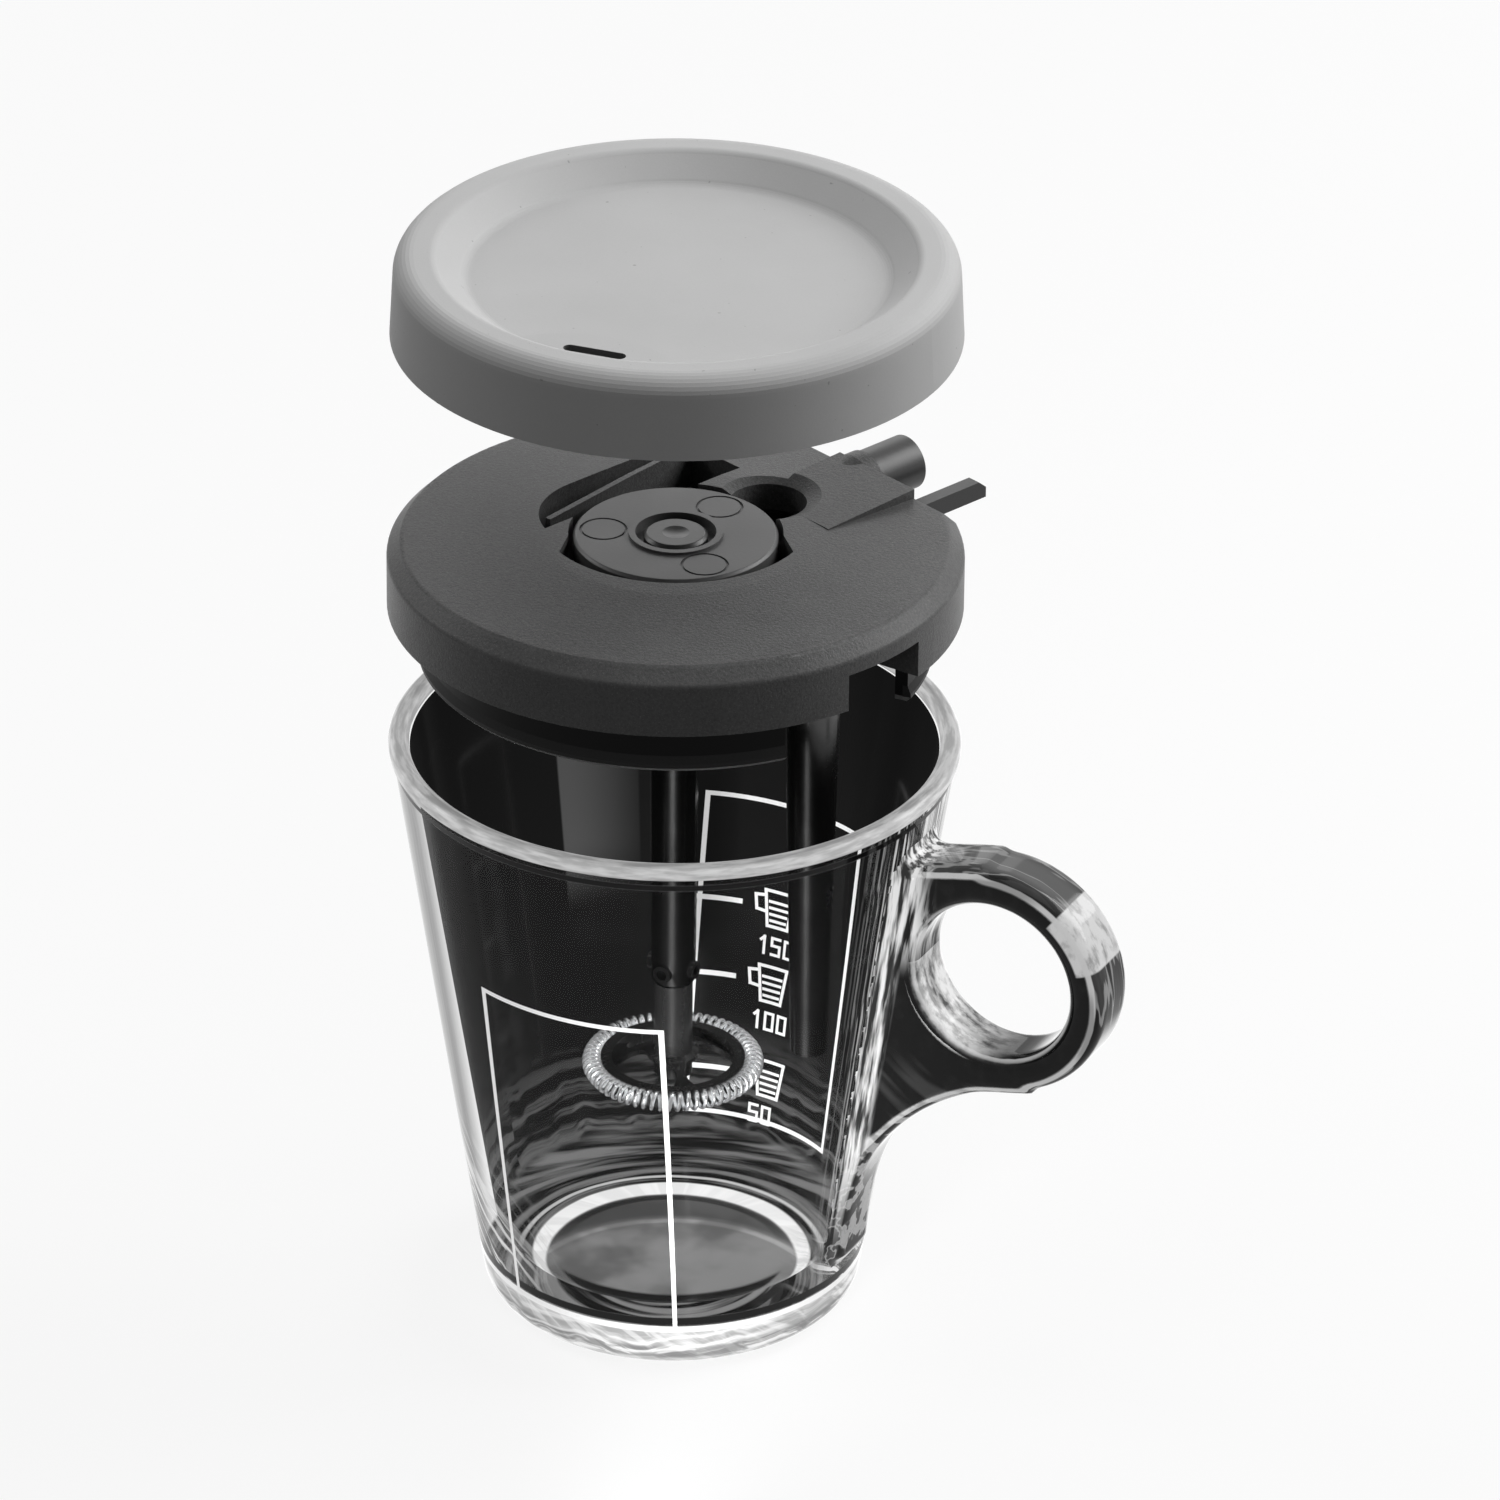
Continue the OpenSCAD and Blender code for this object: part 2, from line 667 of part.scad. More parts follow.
module rim_seal() {
    seat = skirt_or - seal_seat;
    color([0.45, 0.45, 0.47]) translate([0, 0, head_z])
        rotate([0, 0, skirt_from]) rotate_extrude(angle = skirt_sweep) {
            polygon([[seat, seal_low], [seal_or - 0.6, seal_low], [seal_or, seal_low + 0.6],
                     [seal_or, seal_low + 1.2], [skirt_or, seal_low + seal_h], [seat, seal_low + seal_h]]);
        }
}

// ---- frother head: steam line and coffee chute ----

// Space along the hose, from the connector's turning block towards the tube
module on_hose_axis(along) {
    translate([block_at[0], block_at[1], hose_z]) rotate([0, 0, line_az]) translate([along, 0, 0])
        rotate([0, 90, 0]) children();
}

module steam_connector() {
    color([0.2, 0.2, 0.21]) translate([0, 0, head_z]) difference() {
        union() {
            on_steam_axis(flat_reach) cylinder(d = steam_d, h = steam_out);
            on_steam_axis(block_reach - barrel_from)
                cylinder(d = barrel_d, h = flat_reach + 1 - block_reach + barrel_from);
            translate([block_at[0], block_at[1], base_th])
                cylinder(d = block_d, h = head_h - head_top - base_th);
            on_hose_axis(0) cylinder(d = nipple_d, h = block_d / 2 + nipple_l);
        }
        on_steam_axis(block_reach - steam_bore / 2) cylinder(d = steam_bore, h = head_r);
        on_steam_axis(steam_reach - ring_seat - ring_wire)
            cylinder(d = steam_bore + 2 * ring_wire, h = ring_wire);
        translate([block_at[0], block_at[1], base_th + 1])
            cylinder(d = steam_bore - 1, h = steam_z - base_th - 1);
        on_hose_axis(0) cylinder(d = nipple_d - 1.2, h = head_r);
    }
}

// Drawn as it lies round the machine's nozzle, so its inside is flush with the bore
module connector_seal() {
    color([0.1, 0.1, 0.1]) translate([0, 0, head_z]) on_steam_axis(steam_reach - ring_seat - ring_wire / 2)
        rotate_extrude() translate([(steam_bore + ring_wire) / 2, 0]) circle(d = ring_wire);
}

module steam_hose() {
    gap = 0.05;
    color([0.85, 0.85, 0.85, 0.8]) translate([0, 0, head_z]) difference() {
        on_hose_axis(block_d / 2 + gap) cylinder(d = hose_d, h = line_l - block_d - 2 * gap);
        on_hose_axis(0) cylinder(d = hose_bore, h = line_l);
    }
}

module steam_tube() {
    color([0.12, 0.12, 0.13]) translate([0, 0, head_z]) difference() {
        union() {
            translate([tube_at[0], tube_at[1], -tube_drop])
                cylinder(d1 = tube_tip_d, d2 = tube_root_d, h = tube_drop - washer_t);
            translate([tube_at[0], tube_at[1], -washer_t - eps])
                cylinder(d = tube_root_d - 1, h = base_th + washer_t + 2 * eps);
            translate([tube_at[0], tube_at[1], base_th])
                cylinder(d = block_d, h = head_h - head_top - base_th);
            on_hose_axis(line_l - block_d / 2 - nipple_l) cylinder(d = nipple_d, h = block_d / 2 + nipple_l);
        }
        translate([tube_at[0], tube_at[1], -tube_drop - eps]) cylinder(d = tube_bore, h = tube_drop + hose_z);
        on_hose_axis(line_l / 2) cylinder(d = nipple_d - 1.2, h = line_l / 2);
    }
}

module tube_seal() {
    color([0.5, 0.5, 0.52]) translate([tube_at[0], tube_at[1], head_z - washer_t])
        pipe(tube_root_d + 2, tube_root_d - 1, washer_t);
}

module coffee_chute() {
    top = disc_z - plate_h - 0.8;
    color([0.16, 0.16, 0.17]) translate([0, 0, head_z]) rotate([0, 0, chute_az])
        translate([chute_pitch, 0, -chute_drop]) {
            pipe(chute_d, chute_d - 2 * chute_wall, chute_drop + top);
            translate([0, 0, chute_drop - 1]) pipe(chute_d + 3, chute_d - 2 * chute_wall, 1);
        }
}

// ---- frother head: drive line ----

module shaft_sleeve() {
    color([0.13, 0.13, 0.14]) translate([0, 0, head_z]) difference() {
        union() {
            translate([0, 0, -sleeve_drop]) cylinder(d1 = sleeve_tip_d, d2 = sleeve_d, h = sleeve_drop);
            cylinder(d = sleeve_d, h = spigot_top);
            translate([0, 0, -1.5]) cylinder(d = sleeve_d + 4, h = 1.5);
            // Bosses round the drain holes
            for (a = [0, 90]) translate([0, 0, drain_up - sleeve_drop]) rotate([90, 0, a])
                cylinder(d = drain_d + 1.2, h = sleeve_tip_d + 1, center = true);
        }
        translate([0, 0, -sleeve_drop - eps]) cylinder(d = sleeve_bore, h = sleeve_drop + spigot_top + 1);
        for (a = [0, 90]) translate([0, 0, drain_up - sleeve_drop]) rotate([90, 0, a])
            cylinder(d = drain_d, h = sleeve_d + 2, center = true);
    }
}

module upper_bush() {
    color([0.7, 0.6, 0.35]) translate([0, 0, head_z + spigot_top]) {
        translate([0, 0, -bush_l]) pipe(sleeve_bore, bush_bore, bush_l + flange_h);
        pipe(sleeve_d - 0.4, sleeve_bore, flange_h);
    }
}

module lower_bush() {
    color([0.7, 0.6, 0.35]) translate([0, 0, head_z - sleeve_drop + drain_up + drain_d / 2 + 1.5])
        pipe(sleeve_bore, bush_bore, bush_l);
}

module thrust_washer() {
    color([0.8, 0.8, 0.82]) translate([0, 0, head_z + hub_z - washer_h])
        pipe(sleeve_d - 0.4, shaft_d, washer_h);
}

// Magnet places in the drive disc
module each_magnet() {
    for (i = [0 : magnet_count - 1])
        rotate([0, 0, magnet_az + i * 360 / magnet_count]) translate([magnet_pitch, 0, 0]) children();
}

module drive_disc() {
    color([0.3, 0.3, 0.31]) translate([0, 0, head_z]) difference() {
        union() {
            translate([0, 0, disc_z]) rotate_extrude() chamfered_section(disc_d / 2, disc_h, 0.4, 0.2);
            translate([0, 0, hub_z]) cylinder(d = sleeve_d + 2, h = disc_top - well_h - hub_z);
            translate([0, 0, disc_top - eps]) pipe(2 * ring_lip_r, 2 * (ring_lip_r - ring_lip_w), 0.4);
        }
        translate([0, 0, hub_z - 1]) cylinder(d = shaft_d, h = head_h);
        // Well inside the centre ring, and the ring-shaped marks over the magnets
        translate([0, 0, disc_top - well_h]) cylinder(r = ring_lip_r - ring_lip_w, h = 2 * well_h);
        translate([0, 0, disc_top - 0.25]) each_magnet() pipe(magnet_d + 1, magnet_d + 0.2, 1);
        // Magnet pockets, open below
        translate([0, 0, disc_z - eps]) each_magnet() cylinder(d = magnet_d, h = magnet_h + eps);
    }
}

module drive_magnets() {
    color([0.55, 0.55, 0.58]) translate([0, 0, head_z + disc_z]) each_magnet()
        cylinder(d = magnet_d, h = magnet_h);
}

module magnet_plate() {
    color([0.2, 0.2, 0.21]) translate([0, 0, head_z + disc_z - plate_h])
        pipe(disc_d - 1.6, sleeve_d + 2, plate_h);
}

module drive_cap() {
    color([0.26, 0.26, 0.27]) translate([0, 0, head_z + disc_top - well_h]) difference() {
        rotate_extrude() chamfered_section(cap_d / 2, well_h + 0.2, 0.5, 0.2);
        translate([0, 0, -eps]) cylinder(d = shaft_d, h = 0.6 + eps);
        // Moulded dimple in the top
        translate([0, 0, well_h + 6.6]) sphere(r = 6.7);
    }
}

module drive_shaft() {
    color([0.8, 0.8, 0.82]) translate([0, 0, head_z + shaft_low])
        cylinder(d = shaft_d, h = disc_top - well_h + 0.6 - shaft_low);
}

// ---- whisk ----

// Openings through the hub's sloping web
module hub_ports() {
    inner = stem_d / 2 + 0.9;
    outer = hub_rim_r - hub_rim_w;
    middle = (inner + outer) / 2;
    for (i = [0 : port_count - 1]) rotate([0, 0, port_az + i * 360 / port_count]) {
        rotate([0, 0, -port_sweep / 2]) rotate_extrude(angle = port_sweep)
            translate([inner, -coil_d]) square([outer - inner, 2 * coil_d]);
        for (side = [-1, 1]) rotate([0, 0, side * port_sweep / 2]) translate([middle, 0, -coil_d])
            cylinder(d = outer - inner, h = 2 * coil_d);
    }
}

module whisk_hub() {
    low = -coil_d / 2;
    stem_top = stem_l - stem_gap;
    color([0.18, 0.18, 0.19]) translate([0, 0, head_z + whisk_z]) difference() {
        union() {
            translate([0, 0, low]) cylinder(d = stem_d, h = stem_top - low);
            // Sloping web, and the rim that the spring ring sits on
            difference() {
                translate([0, 0, low]) cylinder(r1 = hub_rim_r, r2 = stem_d / 2, h = hub_rise - low);
                translate([0, 0, low - eps])
                    cylinder(r1 = hub_rim_r - 2.4, r2 = stem_d / 2 - 1, h = hub_rise - low);
                hub_ports();
            }
            translate([0, 0, low]) pipe(2 * hub_rim_r, 2 * (hub_rim_r - hub_rim_w), coil_d * 0.8);
        }
        translate([0, 0, shaft_low - whisk_z]) cylinder(d = shaft_d, h = stem_l);
        // Groove that the spring ring lies in
        rotate_extrude() translate([whisk_r, 0]) circle(d = coil_d + 0.1);
    }
}

// Closed ring of turns: a wire swept round a helix whose axis is a circle
module whisk_spring() {
    per_turn = 9;
    sides = 5;
    count = coil_turns * per_turn;
    turn_r = (coil_d - wire_d) / 2;
    function heading(i) = 360 * i / count;
    function twist(i) = 360 * i / per_turn;
    // Point at distance r from the ring's centre line, at the wire's angle round that line
    function on_ring(i, r) = let (h = heading(i), t = twist(i))
        [(whisk_r + r * cos(t)) * cos(h), (whisk_r + r * cos(t)) * sin(h), r * sin(t)];
    function section(i) = let (centre = on_ring(i, turn_r), out = on_ring(i, 1) - on_ring(i, 0),
                               side = [-sin(heading(i)), cos(heading(i)), 0])
        [for (k = [0 : sides - 1]) let (a = 360 * k / sides)
            centre + wire_d / 2 * (cos(a) * out + sin(a) * side)];
    points = [for (i = [0 : count - 1]) each section(i)];
    faces = [for (i = [0 : count - 1], k = [0 : sides - 1])
        let (n = (i + 1) % count, m = (k + 1) % sides)
        each [[i * sides + k, n * sides + m, i * sides + m], [i * sides + k, n * sides + k, n * sides + m]]];
    color([0.85, 0.86, 0.88]) translate([0, 0, head_z + whisk_z]) polyhedron(points, faces);
}

// ---- silicone cover ----

// Half section of the cover without its sip pad
module cover_section() {
    foot_z = cover_h - recess_h;
    in_r = shoulder_r - cover_wall;
    difference() {
        polygon(concat([[0, 0], [cover_r, 0]],
                       arc(shoulder_r - shoulder_round, cover_h - shoulder_round, shoulder_round, 0, 90),
                       [[0, cover_h]]));
        // Hollow inside the skirt, with the bead that grips the rim
        polygon(concat([[-eps, -eps], [cover_r - cover_wall - grip_bead, -eps],
                        [cover_r - cover_wall - grip_bead, 1.2], [cover_r - cover_wall, 2.4]],
                       arc(in_r - 2, cover_h - cover_top - 2, 2, 0, 90, 5),
                       [[recess_r + 0.6, cover_h - cover_top], [recess_foot_r + 0.6, foot_z - cover_top],
                        [-eps, foot_z - cover_top]]));
        // Recess with a round upper edge and a cove at its floor
        polygon(concat([[-eps, cover_h + 1], [-eps, foot_z]],
                       arc(recess_foot_r - 1.4, foot_z + 2.2, 2.2, -90, -42, 5),
                       arc(recess_r + 0.8, cover_h - 1.6, 1.6, 138, 90, 5), [[recess_r + 0.8, cover_h + 1]]));
    }
}

module slot_plan() {
    straight = slot_l - slot_w;
    square([slot_w, straight], center = true);
    for (side = [-1, 1]) translate([0, side * straight / 2]) circle(d = slot_w);
}

module silicone_cover() {
    pad_base = cover_h - recess_h - 0.4;
    color([0.6, 0.6, 0.62]) translate([0, 0, cover_z]) difference() {
        union() {
            rotate_extrude() cover_section();
            translate([0, 0, pad_base]) linear_extrude(recess_h + 0.4 - pad_step) intersection() {
                circle(r = recess_r + 0.4);
                rotate([0, 0, pad_az]) translate([pad_pitch, 0]) circle(r = pad_r);
            }
        }
        rotate([0, 0, pad_az]) translate([slot_pitch, 0, -1]) linear_extrude(cover_h + 2) slot_plan();
    }
}

// ---- nodes ----

glass_mug();
head_cover();
head_base();
rim_seal();
guide_peg();
steam_connector();
connector_seal();
steam_hose();
steam_tube();
tube_seal();
coffee_chute();
shaft_sleeve();
upper_bush();
lower_bush();
drive_disc();
drive_magnets();
magnet_plate();
drive_cap();
thrust_washer();
drive_shaft();
whisk_hub();
whisk_spring();
silicone_cover();
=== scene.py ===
"""Looks of a milk frother: a glass mug, a magnet-driven frother head and a silicone drinking cover.

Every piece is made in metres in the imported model's own frame, and rides on one of its bodies.
"""

import logging
import math
from collections.abc import Callable, Sequence
from dataclasses import dataclass, field
from enum import Enum
from typing import Protocol

import bpy
import numpy as np
from mathutils import Matrix, Vector


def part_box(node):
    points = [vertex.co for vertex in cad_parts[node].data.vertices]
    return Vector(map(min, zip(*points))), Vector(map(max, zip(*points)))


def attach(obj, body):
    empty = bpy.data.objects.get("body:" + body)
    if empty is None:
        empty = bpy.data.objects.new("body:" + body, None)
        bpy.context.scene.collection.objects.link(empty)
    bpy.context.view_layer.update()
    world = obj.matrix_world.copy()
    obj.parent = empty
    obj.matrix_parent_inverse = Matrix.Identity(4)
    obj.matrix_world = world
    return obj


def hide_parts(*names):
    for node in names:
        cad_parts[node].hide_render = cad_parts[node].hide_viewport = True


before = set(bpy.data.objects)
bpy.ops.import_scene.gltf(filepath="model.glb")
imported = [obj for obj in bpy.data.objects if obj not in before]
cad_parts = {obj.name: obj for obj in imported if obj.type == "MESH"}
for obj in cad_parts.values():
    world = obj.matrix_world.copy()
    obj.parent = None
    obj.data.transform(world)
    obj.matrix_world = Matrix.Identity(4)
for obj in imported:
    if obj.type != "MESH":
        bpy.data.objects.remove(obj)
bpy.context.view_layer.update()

log = logging.getLogger("frother")
MM = 0.001
Colour = tuple[float, float, float]
Number = "float | Channel"
Paint = "Colour | bpy.types.NodeSocket"


def grey(level: float, warmth: float = 0.0) -> Colour:
    """Gives the linear colour of a display level.

    Args:
        level: Display level, 0 to 255.
        warmth: Share by which red gains and blue loses.

    Returns:
        Linear red, green and blue.
    """
    s = level / 255
    linear = s / 12.92 if s <= 0.04045 else ((s + 0.055) / 1.055) ** 2.4
    return (linear * (1 + warmth), linear, linear * (1 - warmth))


# ---- shader bench ----


class Channel:
    """A varying number in a material: a socket whose operators add Math nodes."""

    def __init__(self, bench: "Bench", socket: bpy.types.NodeSocket) -> None:
        """Wraps a socket of one material's bench."""
        self.bench = bench
        self.socket = socket

    def math(self, operation: str, *others: "float | Channel", first: bool = True) -> "Channel":
        """Adds a Math node.

        Args:
            operation: The node's operation.
            others: Its other inputs.
            first: Whether this channel goes in before the others.

        Returns:
            The node's result.
        """
        terms = [self, *others] if first else [*others, self]
        return self.bench.channel("Math", {"operation": operation}, dict(enumerate(terms)))

    def __add__(self, other: "float | Channel") -> "Channel":
        """Adds."""
        return self.math("ADD", other)

    def __radd__(self, other: float) -> "Channel":
        """Adds to a number."""
        return self.math("ADD", other)

    def __sub__(self, other: "float | Channel") -> "Channel":
        """Subtracts."""
        return self.math("SUBTRACT", other)

    def __rsub__(self, other: float) -> "Channel":
        """Subtracts from a number."""
        return self.math("SUBTRACT", other, first=False)

    def __mul__(self, other: "float | Channel") -> "Channel":
        """Multiplies."""
        return self.math("MULTIPLY", other)

    def __rmul__(self, other: float) -> "Channel":
        """Multiplies a number."""
        return self.math("MULTIPLY", other)

    def __pow__(self, power: float) -> "Channel":
        """Raises to a power."""
        return self.math("POWER", power)

    def __abs__(self) -> "Channel":
        """Drops the sign."""
        return self.math("ABSOLUTE")

    def most(self, other: "float | Channel") -> "Channel":
        """The larger of two values."""
        return self.math("MAXIMUM", other)

    def rise(self, low: float, high: float) -> "Channel":
        """Gives a soft step.

        Args:
            low: Value at which the step leaves 0; it may be above high, for a falling step.
            high: Value at which it reaches 1.

        Returns:
            The step, from 0 to 1.
        """
        turned = low > high
        ends = (high, low) if turned else (low, high)
        step = self.bench.channel(
            "MapRange",
            {"interpolation_type": "SMOOTHSTEP"},
            {"Value": self, "From Min": ends[0], "From Max": ends[1]},
        )
        return 1 - step if turned else step

    def band(self, low: float, high: float, soft: float) -> "Channel":
        """1 between low and high, falling to 0 over soft on each side."""
        return self.rise(low - soft, low) * self.rise(high + soft, high)


class Bench:
    """The nodes of one material or world, with a single way to add any of them."""

    def __init__(self, name: str, owner: bpy.types.World | None = None) -> None:
        """Clears the nodes of a world, or of a new material.

        Args:
            name: Name of the new material.
            owner: The world, if it is one.
        """
        self.owner = owner or bpy.data.materials.new(name)
        self.owner.use_nodes = True
        self.tree = self.owner.node_tree
        self.tree.nodes.clear()

    def node(
        self, kind: str, settings: dict[str, object] | None = None, inputs: dict | None = None
    ) -> bpy.types.Node:
        """Adds a node.

        Args:
            kind: The node's type without its ShaderNode prefix.
            settings: Its settings, which are set first.
            inputs: Values or links of its sockets, by name or place.

        Returns:
            The node.
        """
        made = self.tree.nodes.new("ShaderNode" + kind)
        for key, value in (settings or {}).items():
            setattr(made, key, value)
        for key, value in (inputs or {}).items():
            socket = made.inputs[key]
            if isinstance(value, Channel):
                value = value.socket
            if isinstance(value, bpy.types.NodeSocket):
                self.tree.links.new(value, socket)
            elif isinstance(value, tuple) and len(value) == 3 and socket.type == "RGBA":
                socket.default_value = (*value, 1.0)
            else:
                socket.default_value = value
        return made

    def channel(
        self,
        kind: str,
        settings: dict[str, object] | None = None,
        inputs: dict | None = None,
        output: int | str = 0,
    ) -> Channel:
        """Adds a node and wraps one of its outputs.

        Args:
            kind: The node's type without its ShaderNode prefix.
            settings: Its settings.
            inputs: Values or links of its sockets.
            output: Which output to take.

        Returns:
            The output as a channel.
        """
        return Channel(self, self.node(kind, settings, inputs).outputs[output])

    def place(self) -> tuple[Channel, Channel, Channel]:
        """Gives a point's place on the object, in millimetres, along X, Y and Z."""
        spot = self.node("TexCoord").outputs["Object"]
        scaled = self.node("VectorMath", {"operation": "SCALE"}, {0: spot, "Scale": 1 / MM})
        parts = self.node("SeparateXYZ", {}, {0: scaled.outputs[0]})
        return tuple(Channel(self, parts.outputs[axis]) for axis in "XYZ")

    def facing_axes(self) -> tuple[Channel, Channel, Channel]:
        """Gives the surface's direction on the object along X, Y and Z."""
        parts = self.node("SeparateXYZ", {}, {0: self.node("TexCoord").outputs["Normal"]})
        return tuple(Channel(self, parts.outputs[axis]) for axis in "XYZ")

    def graze(self) -> Channel:
        """Gives 0 where the surface faces the viewer, rising to 1 at its outline."""
        return self.channel("LayerWeight", {}, {"Blend": 0.5}, "Facing")

    def back(self) -> Channel:
        """Gives 1 on the back of a face."""
        return self.channel("NewGeometry", output="Backfacing")

    def point(self, x: Number, y: Number, z: Number) -> bpy.types.NodeSocket:
        """Joins three values into one vector socket."""
        return self.node("CombineXYZ", {}, {"X": x, "Y": y, "Z": z}).outputs[0]

    def noise(
        self, at: bpy.types.NodeSocket, scale: float, detail: float = 3.0, roughness: float = 0.5
    ) -> Channel:
        """Gives smooth noise.

        Args:
            at: Where to read it.
            scale: Bumps in each unit of at.
            detail: Octaves.
            roughness: Weight of the finer octaves.

        Returns:
            The noise, about 0.5.
        """
        return self.channel(
            "TexNoise",
            {"noise_dimensions": "3D"},
            {"Vector": at, "Scale": scale, "Detail": detail, "Roughness": roughness},
            "Fac",
        )

    def mix(self, share: Number, first: Paint, second: Paint) -> bpy.types.NodeSocket:
        """Mixes two colours.

        Args:
            share: Share of the second.
            first: A colour or a colour socket.
            second: Another.

        Returns:
            The mixed colour.
        """
        made = self.node("Mix", {"data_type": "RGBA", "clamp_factor": True}, {0: share})
        for index, value in ((6, first), (7, second)):
            if isinstance(value, bpy.types.NodeSocket):
                self.tree.links.new(value, made.inputs[index])
            else:
                made.inputs[index].default_value = (*value, 1.0)
        return made.outputs[2]

    def coats(self, ground: Paint, *coats: tuple[Number, Paint]) -> Paint:
        """Lays coats of colour over a ground.

        Args:
            ground: The colour underneath.
            coats: Share and colour of each coat, from the lowest up.

        Returns:
            The colour on top.
        """
        for share, colour in coats:
            ground = self.mix(share, ground, colour)
        return ground

    def bump(self, height: Channel, depth: float, strength: float = 1.0) -> bpy.types.NodeSocket:
        """Gives a normal from a height.

        Args:
            height: The height, 0 to 1.
            depth: What a height of 1 is, in millimetres.
            strength: Share of the bump that is used.

        Returns:
            The normal.
        """
        inputs = {"Height": height, "Distance": depth * MM, "Strength": strength}
        return self.node("Bump", {}, inputs).outputs[0]

    def principled(self, **inputs: object) -> bpy.types.NodeSocket:
        """Adds a Principled shader; an underscore in an input's name stands for a space."""
        named = {key.replace("_", " "): value for key, value in inputs.items()}
        return self.node("BsdfPrincipled", {}, named).outputs[0]

    def clear(self) -> bpy.types.NodeSocket:
        """Adds a shader that lets everything through."""
        return self.node("BsdfTransparent", {}, {"Color": (1.0, 1.0, 1.0)}).outputs[0]

    def blend(
        self, share: Number, first: bpy.types.NodeSocket, second: bpy.types.NodeSocket
    ) -> bpy.types.NodeSocket:
        """Mixes two shaders by a share of the second."""
        return self.node("MixShader", {}, {0: share, 1: first, 2: second}).outputs[0]

    def finish(self, shader: bpy.types.NodeSocket, one_sided: bool = False) -> bpy.types.Material:
        """Joins the shader to the output.

        Args:
            shader: The finished shader.
            one_sided: Whether real-time viewers draw the front only.

        Returns:
            The material.
        """
        self.node("OutputMaterial", {}, {"Surface": shader})
        self.owner.use_backface_culling = one_sided
        return self.owner


def span(x: Channel, y: Channel) -> Channel:
    """Gives the distance from an axis."""
    return (x * x + y * y) ** 0.5


def shade(colour: Colour, factor: float) -> Colour:
    """Gives a lighter or darker copy of a colour."""
    return tuple(min(1.0, part * factor) for part in colour)


# ---- finishes ----


class Finish(Protocol):
    """Anything that can build its own material."""

    def material(self) -> bpy.types.Material:
        """Builds the material."""


@dataclass(frozen=True)
class MouldedPlastic:
    """Injection-moulded plastic with a fine grain; the lip height marks a lower edge that gets a
    painted highlight.
    """

    name: str
    colour: Colour
    roughness: float = 0.5
    grain: float = 0.45
    depth: float = 0.03
    mottle: float = 0.2
    specular: float = 0.4
    dusting: float = 0.0
    highlight_lip: float | None = None

    def material(self) -> bpy.types.Material:
        """Builds the material: mottled colour, uneven gloss, a grain in relief and a painted
        highlight along the lip if it has one.

        Returns:
            The material.
        """
        b = Bench(self.name)
        x, y, z = b.place()
        at = b.point(x, y, z)
        fine = b.noise(at, 1 / self.grain, 4.0, 0.65)
        broad = b.noise(at, 0.09, 3.0)
        cloud = (fine - 0.5) * self.mottle + (broad - 0.5) * (0.5 * self.mottle)
        colour = b.mix(cloud + 0.45, shade(self.colour, 0.55), shade(self.colour, 1.6))
        if self.dusting:
            speck = b.noise(at, 2.6 / self.grain, 2.0).rise(0.62, 0.74) * self.dusting
            colour = b.mix(speck, colour, grey(190))
        # painted highlight: a pale band along the lower edge, where light catches it
        if self.highlight_lip is not None:
            colour = b.mix(z.band(self.highlight_lip, self.highlight_lip + 0.55, 0.15), colour, grey(168))
        return b.finish(
            b.principled(
                Base_Color=colour,
                Roughness=(broad - 0.5) * 0.16 + (fine - 0.5) * 0.1 + self.roughness,
                Specular_IOR_Level=self.specular,
                Normal=b.bump(fine, self.depth),
            )
        )


@dataclass(frozen=True)
class SoftSilicone:
    """Matt silicone, with a faint bloom and lint that it picks up.

    A slot is given by its distance from the axis, its angle, and its half length and width; its
    inside is painted dark as shade.
    """

    name: str
    colour: Colour
    roughness: float = 0.62
    slot: tuple[float, float, float, float] | None = None

    def material(self) -> bpy.types.Material:
        """Builds the material, with the inside of the slot painted dark as shade if it has one.

        Returns:
            The material.
        """
        b = Bench(self.name)
        x, y, z = b.place()
        at = b.point(x, y, z)
        bloom = b.noise(at, 0.05, 3.0)
        fine = b.noise(at, 3.2, 3.0, 0.6)
        lint = b.noise(at, 0.9, 1.0).rise(0.77, 0.8)
        cloud = (bloom - 0.5) * 0.8 + (fine - 0.5) * 0.35 + 0.5
        colour = b.mix(cloud, shade(self.colour, 0.9), shade(self.colour, 1.12))
        colour = b.mix(lint * 0.35, colour, grey(60))
        if self.slot:
            pitch, turn, length, width = self.slot
            c, s = math.cos(math.radians(turn)), math.sin(math.radians(turn))
            out, side = abs(x * c + y * s - pitch), abs(y * c - x * s)
            past = (side - (length - width)).most(0.0)
            # painted shade: the inside of the slot is coloured near black
            colour = b.mix(span(past, out).rise(width + 0.06, width - 0.02), colour, grey(14))
        return b.finish(
            b.principled(
                Base_Color=colour,
                Roughness=(bloom - 0.5) * 0.12 + self.roughness,
                Specular_IOR_Level=0.35,
                Sheen_Weight=0.12,
                Sheen_Roughness=0.4,
                Normal=b.bump(fine, 0.012),
            )
        )


